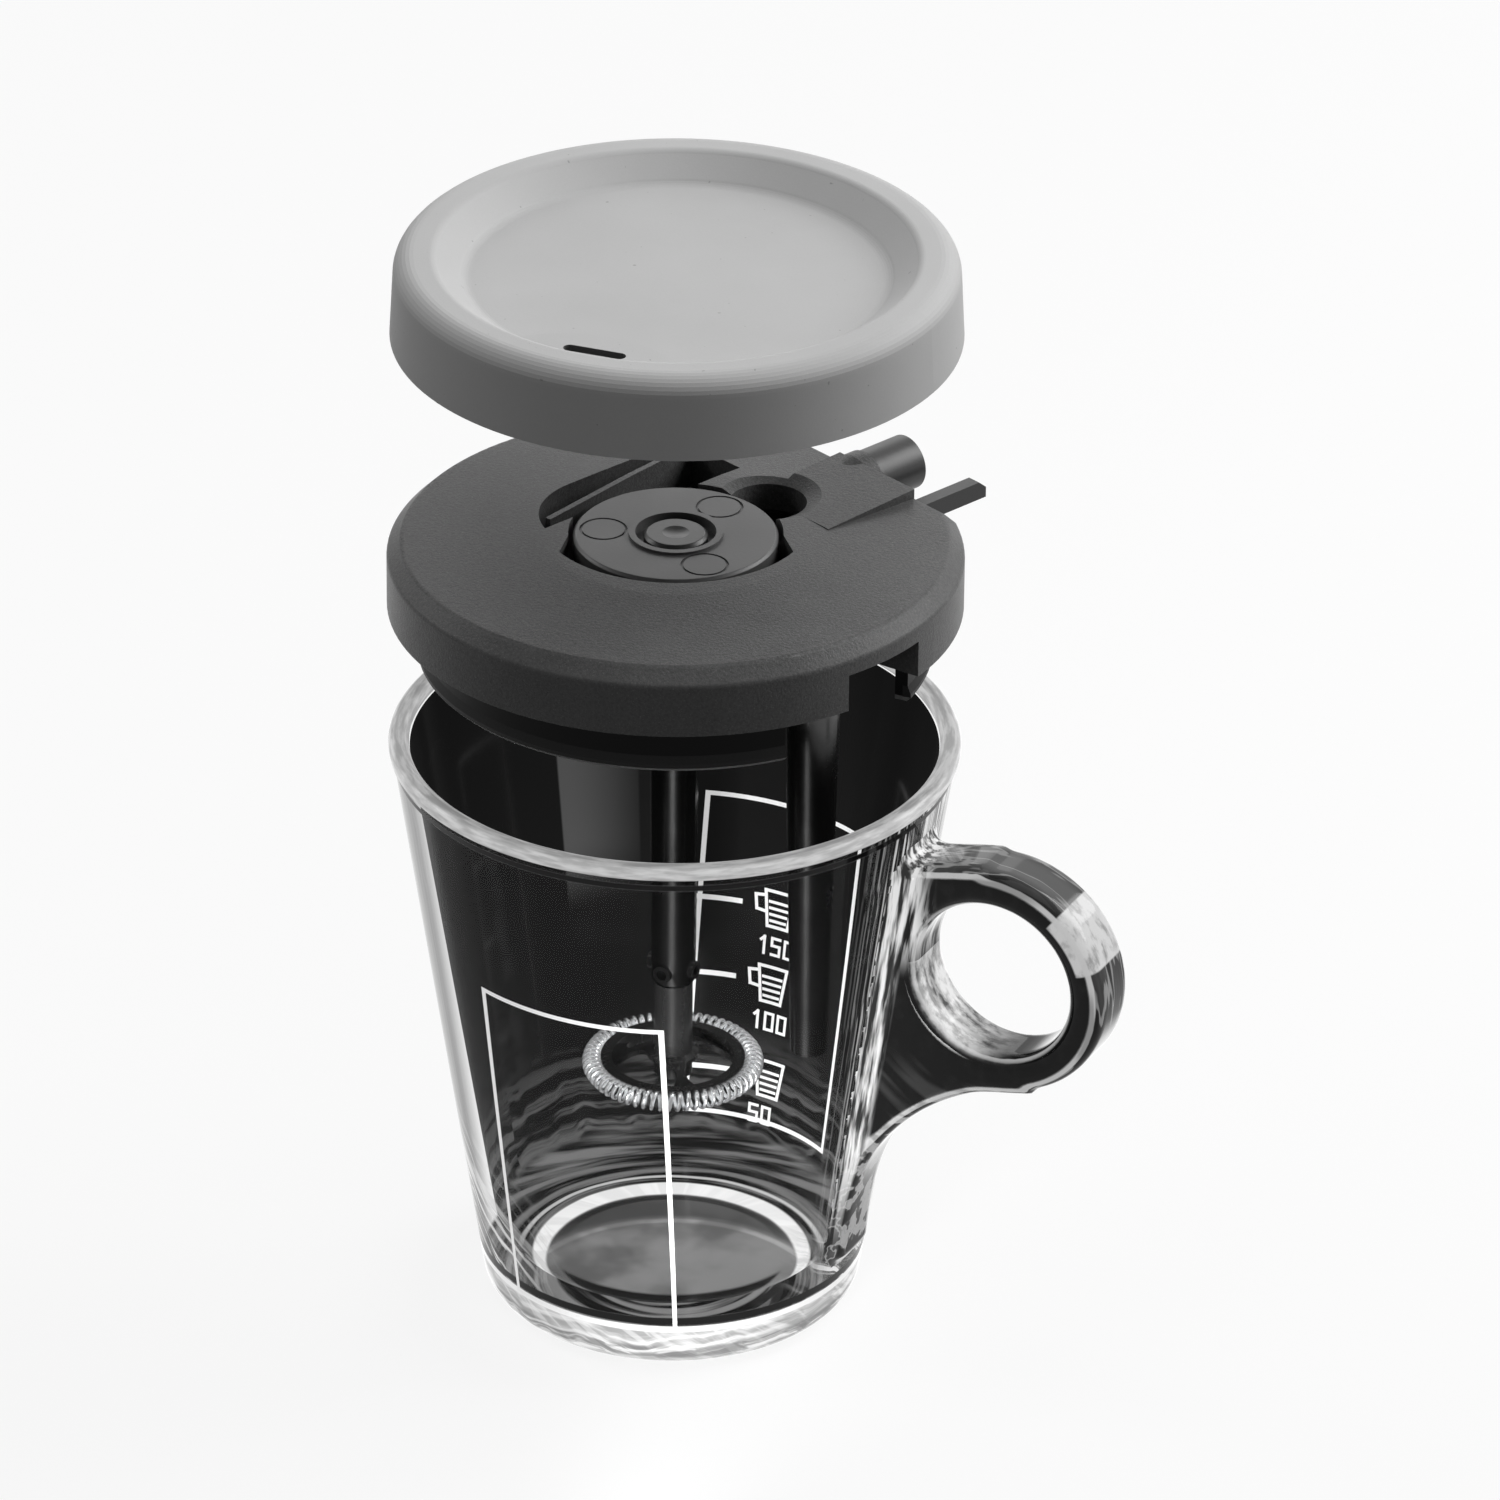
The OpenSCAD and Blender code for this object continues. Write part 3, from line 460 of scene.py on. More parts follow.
@dataclass(frozen=True)
class WorkedMetal:
    """Metal with fine marks that run round an upright axis, or along it.

    Its glint is a painted glint: an emitted share of its colour, strongest where the surface faces
    the viewer, that stands in for the bright surroundings fine wire reflects.
    """

    name: str
    colour: Colour
    roughness: float = 0.2
    marks: float = 6.0
    along: bool = False
    tarnish: float = 0.15
    painted_glint: float = 0.0

    def material(self) -> bpy.types.Material:
        """Builds the material: drawn or turned marks, a little tarnish and the painted glint.

        Returns:
            The material.
        """
        b = Bench(self.name)
        x, y, z = b.place()
        radius = span(x, y)
        at = b.point(x * 2.0, y * 2.0, z * 0.04) if self.along else b.point(radius, z, radius * 0.2)
        mark = b.noise(at, self.marks, 3.0, 0.6)
        stain = b.noise(b.point(x, y, z), 0.5, 3.0)
        worn = stain.rise(0.5, 0.8) * self.tarnish + (mark - 0.5) * 0.3
        return b.finish(
            b.principled(
                # painted glint: an emission, strongest where the metal faces the viewer
                Emission_Color=b.mix(b.graze().rise(0.75, 0.2), grey(0), self.colour),
                Emission_Strength=self.painted_glint,
                Base_Color=b.mix(worn, self.colour, shade(self.colour, 0.55)),
                Metallic=1.0,
                Roughness=(mark - 0.5) * 0.16 + stain * 0.06 + self.roughness,
                Normal=b.bump(mark, 0.01),
            )
        )


@dataclass(frozen=True)
class SealRubber:
    """Dark rubber of a seal, with a dry bloom; the lip height marks a lower edge that gets a
    painted highlight.
    """

    name: str
    colour: Colour
    roughness: float = 0.45
    highlight_lip: float | None = None

    def material(self) -> bpy.types.Material:
        """Builds the material.

        Returns:
            The material.
        """
        b = Bench(self.name)
        x, y, z = b.place()
        fine = b.noise(b.point(x, y, z), 2.4, 4.0, 0.6)
        colour = b.mix(fine.rise(0.35, 0.75), self.colour, shade(self.colour, 1.5))
        # painted highlight: a pale band along the lower edge, where light catches it
        if self.highlight_lip is not None:
            colour = b.mix(z.band(self.highlight_lip, self.highlight_lip + 0.5, 0.12) * 0.85, colour, grey(190))
        return b.finish(
            b.principled(
                Base_Color=colour,
                Roughness=(fine - 0.5) * 0.2 + self.roughness,
                Specular_IOR_Level=0.12,
                Normal=b.bump(fine, 0.015),
            )
        )


@dataclass(frozen=True)
class PrintedInk:
    """Baked white ink, a little thin in places, on one face of the glass; an emission paints light
    onto it, so it stays bright in shade.
    """

    name: str
    colour: Colour

    def material(self) -> bpy.types.Material:
        """Builds the material, which shows from its front only.

        Returns:
            The material.
        """
        b = Bench(self.name)
        x, y, z = b.place()
        wear = b.noise(b.point(x, y, z), 1.7, 4.0, 0.6)
        tone = b.mix(wear.rise(0.5, 0.85) * 0.25, self.colour, grey(150))
        # the ink's own colour, plus painted light: it emits its tone as well as reflecting it
        ink = b.principled(
            Base_Color=b.mix(0.6, tone, grey(20)),
            Emission_Color=tone,
            Emission_Strength=0.65,
            Roughness=(wear - 0.5) * 0.2 + 0.4,
            Normal=b.bump(wear, 0.01),
        )
        return b.finish(b.blend(b.back(), ink, b.clear()), one_sided=True)


@dataclass(frozen=True)
class GlassPlan:
    """Sizes that the glass finishes are laid out by, in millimetres and degrees."""

    height: float
    lean: float
    base_r: float
    floor: float
    glow_r: float
    glow_shift: float
    ring_x: float
    ring_z: float
    hole_r: float
    ring_bar: float
    half_w: float


class GlassFace(Enum):
    """The faces of the mug that differ in what they show."""

    OUTSIDE = "outside"
    INSIDE = "inside"
    RIM = "rim"
    HANDLE = "handle"


@dataclass(frozen=True)
class Streaks:
    """How long wavy streaks of painted light and shade run in the glass: their number in each
    degree and in each millimetre of height.
    """

    across: float
    up: float
    sharp: float = 0.16

    def draw(self, b: Bench, turn: Channel, z: Channel) -> Channel:
        """Draws the streaks.

        Args:
            b: The bench.
            turn: Angle round the mug in degrees.
            z: Height.

        Returns:
            The streaks, 0 to 1.
        """
        sway = b.noise(b.point(turn * 0.05, z * 0.05, 3.0), 1.0, 2.0)
        at = b.point(turn * self.across + sway * 2.0, z * self.up + sway * 3.0, 0.0)
        return b.noise(at, 1.0, 4.0, 0.55).rise(0.54 - self.sharp, 0.54 + self.sharp)


@dataclass(frozen=True)
class PressedGlass:
    """Clear pressed glass over a painted dark depth: what would bend light towards the front is
    painted bright, as tones that the glass emits.
    """

    face: GlassFace
    plan: GlassPlan
    painted_glow: float = 0.72
    front: tuple[float, float] = (0.459, -0.889)

    def material(self) -> bpy.types.Material:
        """Builds the material of this face.

        Returns:
            The material.
        """
        makers: dict[GlassFace, Callable[[Bench], bpy.types.Material]] = {
            GlassFace.OUTSIDE: self.outside,
            GlassFace.INSIDE: self.inside,
            GlassFace.RIM: self.rim,
            GlassFace.HANDLE: self.handle,
        }
        return makers[self.face](Bench("glass_" + self.face.value))

    def glow(
        self, b: Bench, tone: Paint, roughness: float = 0.08, specular: float = 0.12
    ) -> bpy.types.NodeSocket:
        """Gives glass that emits a tone of painted light, standing in for light that it bends and
        reflects, under its own gloss.

        Args:
            b: The bench.
            tone: The tone of the painted light.
            roughness: Roughness of the gloss.
            specular: Level of the gloss.

        Returns:
            The shader.
        """
        return b.principled(
            Base_Color=b.mix(0.7, tone, grey(8)),
            Emission_Color=tone,
            Emission_Strength=self.painted_glow,
            Roughness=roughness,
            Specular_IOR_Level=specular,
        )

    def turn(self, x: Channel, y: Channel) -> Channel:
        """Gives the angle about an axis in degrees, 0 along the first direction."""
        return y.math("ARCTAN2", x) * (180 / math.pi)

    def outside(self, b: Bench) -> bpy.types.Material:
        """Outer wall: clear, with painted light and shade: grey edges, a streaked root, dark lines
        below the rim and at the floor, and a bright foot.

        Args:
            b: The bench.

        Returns:
            The material.
        """
        x, y, z = b.place()
        turn = self.turn(x, y)
        floor, brow_z = self.plan.floor, self.plan.height - 3.9
        graze = b.graze()
        # painted light and shade: each mask below lays an emitted tone for light bent through the
        # glass; brow and line are painted dark lines
        upright = Streaks(0.5, 0.02).draw(b, turn, z)
        level = Streaks(0.02, 0.5).draw(b, turn, z)
        slant = Streaks(0.02, 0.5, 0.07).draw(b, turn, z + turn * 0.35)
        fine = Streaks(1.3, 0.03, 0.1).draw(b, turn, z)
        brow = z.band(brow_z, brow_z + 0.7, 0.3)
        edge = graze.rise(0.6, 0.8)
        silhouette = graze.rise(0.93, 0.985)
        root = abs(turn).rise(24, 9) * z.rise(6, 16)
        low = z.rise(38, 12) * graze.rise(0.3, 0.62)
        line = z.band(floor + 0.35, floor + 1.5, 0.25)
        foot = z.rise(floor + 0.2, floor - 0.1)
        share = (edge * 0.9).most(root * fine * 0.9).most(low * slant * 0.95)
        share = share.most(foot).most(line).most(brow)
        sole = b.coats(
            b.mix(level, grey(166), grey(246)),
            (slant * 0.4, grey(250)),
            (z.band(2.6, 4.2, 0.8) * level.rise(0.7, 0.2) * 0.6, grey(96)),
            (z.rise(2.6, 0.4) * 0.55, grey(128)),
            (z.band(floor - 1.0, floor - 0.2, 0.25), grey(244)),
        )
        tone = b.coats(
            b.mix(upright * 0.4, grey(92), grey(140)),
            (root, b.mix(fine, grey(30), grey(222))),
            (low * 0.95, b.mix(slant, grey(64), grey(240))),
            (silhouette * 0.6, grey(60)),
            (brow, grey(12)),
            (line, grey(14)),
            (foot, sole),
        )
        white = {"Color": (1.0, 1.0, 1.0), "Roughness": 0.03}
        gloss = b.node("BsdfGlossy", {}, white).outputs[0]
        sheen = b.channel("Fresnel", {}, {"IOR": 1.1})
        # painted light under the floor: arcs of bent light, seen on the back of the outer face
        arcs = b.noise(b.point(span(x, y) * 0.55, x * 0.03, y * 0.03), 1.0, 3.0, 0.5)
        deep = self.glow(b, b.mix(arcs.rise(0.46, 0.62), grey(22), grey(132)))
        under = b.blend(z.rise(floor - 4, floor - 5), b.clear(), deep)
        body = b.blend(share, b.blend(sheen, b.clear(), gloss), self.glow(b, tone))
        return b.finish(b.blend(b.back(), body, under), one_sided=True)

    def pool(self, b: Bench, low: Channel, level: Channel) -> list[tuple[Number, Paint]]:
        """Gives the floor's painted light and shade: curved streaks, the plate with its dark
        crescent, and the ring.

        The ring is a painted highlight; it lies towards the front, where light bent by the thick
        floor carries it.

        Args:
            b: The bench.
            low: Where the floor is, 0 to 1.
            level: Streaks that run round the mug.

        Returns:
            The share and the colour of each coat, from the lowest up.
        """
        x, y, _ = b.place()
        ahead = x * self.front[0] + y * self.front[1]
        across = x * x + y * y - ahead * ahead
        ring_r, shift = self.plan.glow_r, self.plan.glow_shift
        swirl = b.noise(b.point(x, y, 4.0), 0.09, 3.0, 0.5)
        sway = (b.noise(b.point(x, y, 9.0), 0.12, 2.0) - 0.5) * 0.36
        reach, nearer, hollow, sweep = (
            ((ahead - centre) ** 2.0 + across) ** 0.5 + sway
            for centre in (shift, shift + 1.5, -2.4, 22.0)
        )
        arcs = b.noise(b.point(reach * 0.75, x * 0.04, y * 0.04), 1.0, 3.0, 0.5).rise(0.42, 0.64)
        # painted highlight: the bright ring and thread; painted shade: the rear band and the
        # crescent
        hoop = reach.rise(ring_r + 0.3, ring_r - 0.2) * nearer.rise(ring_r - 2.3, ring_r - 1.7)
        thread = reach.band(ring_r + 1.7, ring_r + 2.0, 0.35) * ahead.rise(12, -2)
        rear = nearer.band(ring_r - 3.4, ring_r - 2.7, 0.5) * ahead.rise(6, -4) * 0.75
        crescent = reach.rise(17.3, 16.6) * hollow.rise(21.9, 22.8) * ahead.rise(10, 13)
        plate = b.coats(
            b.mix(swirl.rise(0.35, 0.65), grey(98), grey(136)),
            (sweep.rise(23.7, 25.5) * 0.75, grey(62)),
            (sweep.band(23.2, 23.7, 0.6) * (swirl.rise(0.4, 0.6) * 0.4 + 0.15), grey(190)),
            (crescent.most(rear), grey(30)),
        )
        shine = b.mix(ahead.rise(21, 12) * (level * 0.15 + 0.85), grey(112), grey(250))
        return [
            (low, b.mix(arcs, grey(24), grey(118))),
            (low * nearer.rise(ring_r - 1.7, ring_r - 2.4), plate),
            (low * thread * 0.8, grey(215)),
            (low * hoop, shine),
        ]

    def inside(self, b: Bench) -> bpy.types.Material:
        """Inner wall and floor: a painted dark depth from the inside, with a painted window
        reflection and painted light on the floor; clear from the outside.

        Args:
            b: The bench.

        Returns:
            The material.
        """
        x, y, z = b.place()
        turn = self.turn(x, y)
        floor = self.plan.floor
        level = Streaks(0.015, 0.5, 0.08).draw(b, turn, z)
        # painted reflection of a window, laid over a painted dark depth of shade
        window_reflection = turn.band(127, 147, 0.7) * z.band(58, 80, 12) * turn.rise(120, 147)
        base = z.rise(31, 11.5) * z.rise(floor + 1.6, floor + 2.2) * level
        low = z.rise(floor + 3.4, floor + 1.6)
        tone = b.coats(
            b.mix(window_reflection * 0.6, grey(23), grey(100)),
            (base * 0.8, grey(105)),
            *self.pool(b, low, level),
        )
        shadow = b.channel("LightPath", output="Is Shadow Ray")
        # painted shade: the depth is an opaque dark tone, emitted, where the real inside would be
        # in shadow
        depth = self.glow(b, tone, 0.12, 0.1)
        return b.finish(b.blend(b.back().most(shadow), depth, b.clear()), one_sided=True)

    def rim(self, b: Bench) -> bpy.types.Material:
        """Fire-polished rim, in painted light and shade: a bright bead with a soft darker line
        along its crown, and a dark line below it.

        Args:
            b: The bench.

        Returns:
            The material.
        """
        x, y, z = b.place()
        height = self.plan.height
        at = b.point(self.turn(x, y) * 0.16, span(x, y) * 1.5, z * 1.5)
        ripple = b.noise(at, 1.0, 3.0, 0.5)
        crown = z.rise(height - 0.55, height - 0.05)
        # painted light and shade: emitted tones for the bright bead, its darker crown line and the
        # dark line under it
        tone = b.coats(
            b.mix(ripple.rise(0.3, 0.7), grey(182), grey(222)),
            (crown * (ripple.rise(0.65, 0.4) * 0.2 + 0.5), grey(126)),
            (z.rise(height - 1.7, height - 2.3), grey(16)),
        )
        return b.finish(self.glow(b, tone))

    def handle(self, b: Bench) -> bpy.types.Material:
        """Solid handle in painted light and shade: near black through its flats, painted bright
        where its edges and bore turn.

        Args:
            b: The bench.

        Returns:
            The material.
        """
        x, y, z = b.place()
        plan = self.plan
        side = abs(b.facing_axes()[1])
        u, v = x - plan.ring_x, z - plan.ring_z
        away, bearing = span(u, v), self.turn(u, v)
        proud = span(x, y) - z * math.tan(math.radians(plan.lean)) - plan.base_r
        mid = plan.hole_r + plan.ring_bar / 2
        mottle = b.noise(b.point(x * 0.34, y * 0.6, z * 0.3), 1.0, 4.0, 0.6)
        around = b.noise(b.point(bearing * 0.02, away * 0.35, y * 0.45), 1.0, 2.0, 0.5)
        at = b.point(self.turn(x, y) * 0.8, proud * 0.8, z * 0.08)
        vein = b.noise(at, 1.0, 3.0, 0.55)
        beyond = away.rise(mid + 0.2, mid + 0.8)
        outer = side.rise(0.93, 0.8) * beyond
        top = bearing.band(48, 128, 14) * outer * abs(y).rise(plan.half_w, 1.0)
        patch = bearing.band(20, 52, 1.2) * away.rise(mid - 0.4, mid)
        highlight_lip = side.band(0.8, 0.93, 0.05) * beyond
        bore = away.rise(mid - 0.9, mid - 1.9) * side.rise(0.9, 0.6)
        lit = abs(bearing + 158).rise(88, 30).most(bearing.band(28, 72, 12) * 0.9)
        broad = mottle.rise(0.36, 0.62) * 0.55 + around.rise(0.4, 0.6) * 0.35 + 0.1
        beneath = u.rise(4, -8) * v.rise(-14, -20)
        tail = beneath * abs(y).rise(plan.half_w + 0.2, plan.half_w - 0.8)
        flank = abs(y).rise(plan.half_w - 0.6, plan.half_w + 0.1)
        root = proud.rise(3.0, 1.4) * flank * z.rise(12, 40)
        knot = u.rise(-8.5, -13) * v.rise(-3, 6)
        # painted light and shade: dark flats, with painted highlights on the edges, the top, the
        # patch, the bore, the tail and the streaked root
        tone = b.coats(
            b.mix(mottle.rise(0.45, 0.75) * 0.4, grey(13), grey(34)),
            (outer * around.rise(0.42, 0.7) * 0.6, grey(84)),
            (outer * around.band(0.53, 0.55, 0.03) * 0.45, grey(190)),
            (top * 0.4, grey(140)),
            (patch * (mottle.rise(0.3, 0.55) * 0.5 + 0.45), grey(216)),
            (highlight_lip * (around.rise(0.35, 0.5) * 0.4 + 0.5), grey(206)),
            (b.graze().rise(0.7, 0.86) * 0.85, grey(196)),
            (bore * lit * broad, grey(238)),
            (bore * side.band(0.55, 0.72, 0.08) * 0.6, grey(214)),
            (tail * around.rise(0.45, 0.62) * 0.7, grey(176)),
            (
                root.most(knot * vein.rise(0.4, 0.5)),
                b.mix(vein.rise(0.4, 0.62), grey(46), grey(240)),
            ),
        )
        return b.finish(self.glow(b, tone, 0.06))


# ---- mesh tools ----


def piece(
    name: str,
    points: Sequence | np.ndarray,
    faces: Sequence | np.ndarray,
    finish: bpy.types.Material,
    body: str,
    slot: str,
    sharp: float = 40.0,
) -> bpy.types.Object:
    """Makes a mesh piece that rides on a body.

    Args:
        name: The piece's name.
        points: Its points in millimetres.
        faces: Its faces.
        finish: Its material.
        body: The body that it rides on.
        slot: Not used.
        sharp: Angle above which an edge stays sharp, in degrees.

    Returns:
        The object.
    """
    mesh = bpy.data.meshes.new(name)
    metres = (np.asarray(points, float) * MM).tolist()
    mesh.from_pydata(metres, [], [list(map(int, face)) for face in faces])
    mesh.validate()
    mesh.shade_smooth()
    mesh.set_sharp_from_angle(angle=math.radians(sharp))
    mesh.materials.append(finish)
    made = bpy.data.objects.new(name, mesh)
    bpy.context.scene.collection.objects.link(made)
    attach(made, body)
    log.info("piece %s: %d points on %s", name, len(mesh.vertices), body)
    return made


def arc(
    centre: tuple[float, float], radius: float, start: float, stop: float, steps: int = 10
) -> list[tuple[float, float]]:
    """Gives points along an arc of a half section.

    Args:
        centre: Radius and height of its centre.
        radius: Its radius.
        start: Angle of its first point in degrees.
        stop: Angle of its last point.
        steps: Number of steps between them.

    Returns:
        Radius and height of each point.
    """
    angles = [math.radians(start + (stop - start) * i / steps) for i in range(steps + 1)]
    return [(centre[0] + radius * math.cos(a), centre[1] + radius * math.sin(a)) for a in angles]


def lathe(
    profile: Sequence[tuple[float, float]], segments: int = 192
) -> tuple[np.ndarray, list[list[int]]]:
    """Turns a half section about the upright axis.

    Args:
        profile: Radius and height of each point, in an order that puts the outside on the right
            of the direction of travel.
        segments: Divisions round the axis.

    Returns:
        Points and faces. A point on the axis is made once.
    """
    points: list[tuple[float, float, float]] = []
    rings: list[list[int]] = []
    for radius, height in profile:
        count = 1 if radius < 1e-6 else segments
        rings.append(list(range(len(points), len(points) + count)))
        for k in range(count):
            a = 2 * math.pi * k / segments
            points.append((radius * math.cos(a), radius * math.sin(a), height))
    faces: list[list[int]] = []
    for lower, upper in zip(rings, rings[1:], strict=False):
        for k in range(segments):
            n = (k + 1) % segments
            corners = [lower[k % len(lower)], lower[n % len(lower)]]
            corners += [upper[n % len(upper)], upper[k % len(upper)]]
            faces.append(list(dict.fromkeys(corners)))
    return np.array(points), faces


def surface_net(
    field_of: Callable[[np.ndarray], np.ndarray],
    low: Sequence[float],
    high: Sequence[float],
    step: float,
    probe: float = 0.05,
    pulls: int = 3,
) -> tuple[np.ndarray, np.ndarray]:
    """Meshes the zero surface of a distance field.

    Args:
        field_of: Gives the field at an array of points, negative inside.
        low: Lowest corner of the space to search.
        high: Highest corner.
        step: Size of the cells.
        probe: Distance over which the slope of the field is taken.
        pulls: Number of times that the points are pulled onto the surface.

    Returns:
        Points, drawn onto the surface, and quads that face outwards.
    """
    axes = [np.arange(a, b + step, step) for a, b in zip(low, high, strict=True)]
    grid = np.stack(np.meshgrid(*axes, indexing="ij"), -1)
    value = field_of(grid.reshape(-1, 3)).reshape(grid.shape[:3])
    total = np.zeros([n - 1 for n in value.shape] + [3])
    count = np.zeros([n - 1 for n in value.shape])
    for axis in range(3):
        first = [slice(None)] * 3
        second = [slice(None)] * 3
        first[axis], second[axis] = slice(None, -1), slice(1, None)
        a, b = value[tuple(first)], value[tuple(second)]
        cross = (a < 0) != (b < 0)
        share = np.where(cross, a / np.where(cross, a - b, 1.0), 0.0)
        spot = grid[tuple(first)].copy()
        spot[..., axis] += share * step
        others = [k for k in range(3) if k != axis]
        for shift in ((0, 0), (0, 1), (1, 0), (1, 1)):
            cut = [slice(None)] * 3
            for k, s in zip(others, shift, strict=True):
                cut[k] = slice(s, value.shape[k] - 1 + s)
            count += cross[tuple(cut)]
            total += spot[tuple(cut)] * cross[tuple(cut)][..., None]
    index = np.full(count.shape, -1)
    index[count > 0] = np.arange(int((count > 0).sum()))
    points = total[count > 0] / count[count > 0][:, None]
    quads = []
    for axis in range(3):
        first = [slice(1, -1)] * 3
        second = [slice(1, -1)] * 3
        first[axis], second[axis] = slice(None, -1), slice(1, None)
        a, b = value[tuple(first)] < 0, value[tuple(second)] < 0
        cells = np.argwhere(a != b)
        cells[:, [k for k in range(3) if k != axis]] += 1
        u, v = [k for k in range(3) if k != axis]
        ring = []
        for du, dv in ((0, 0), (1, 0), (1, 1), (0, 1)):
            at = cells.copy()
            at[:, u] -= du
            at[:, v] -= dv
            ring.append(index[at[:, 0], at[:, 1], at[:, 2]])
        quad = np.stack(ring, 1)
        flip = a[a != b] if axis != 1 else ~a[a != b]
        quads.append(np.where(flip[:, None], quad, quad[:, ::-1]))
    for _ in range(pulls):
        here = field_of(points)
        moves = np.eye(3) * probe
        slope = np.stack([(field_of(points + move) - here) / probe for move in moves], 1)
        points -= slope * (here / np.maximum((slope**2).sum(1), 0.05))[:, None]
    return points, np.vstack(quads)


def smooth_least(a: np.ndarray, b: np.ndarray, reach: float) -> np.ndarray:
    """The smaller of two distances, with a fillet of about that reach where they meet."""
    share = np.clip(0.5 + 0.5 * (b - a) / reach, 0, 1)
    return b + (a - b) * share - reach * share * (1 - share)


def polygon_distance(at: np.ndarray, corners: Sequence[tuple[float, float]]) -> np.ndarray:
    """Gives the distance to a polygon, negative inside.

    Args:
        at: Points as rows of two.
        corners: The polygon's corners in order.

    Returns:
        The distances.
    """
    shape = np.asarray(corners, float)
    best = np.full(len(at), 1e18)
    sign = np.ones(len(at))
    for a, b in zip(shape, np.roll(shape, -1, 0), strict=True):
        edge, to = b - a, at - a
        share = np.clip(to @ edge / (edge @ edge), 0, 1)
        away = to - share[:, None] * edge
        best = np.minimum(best, (away**2).sum(1))
        over = (at[:, 1] >= a[1]) != (at[:, 1] >= b[1])
        side = (b[0] - a[0]) * to[:, 1] - (b[1] - a[1]) * to[:, 0]
        rising = b[1] > a[1]
        sign[over & ((side > 0) == rising)] *= -1
    return np.sqrt(best) * sign


# ---- sub-assemblies ----


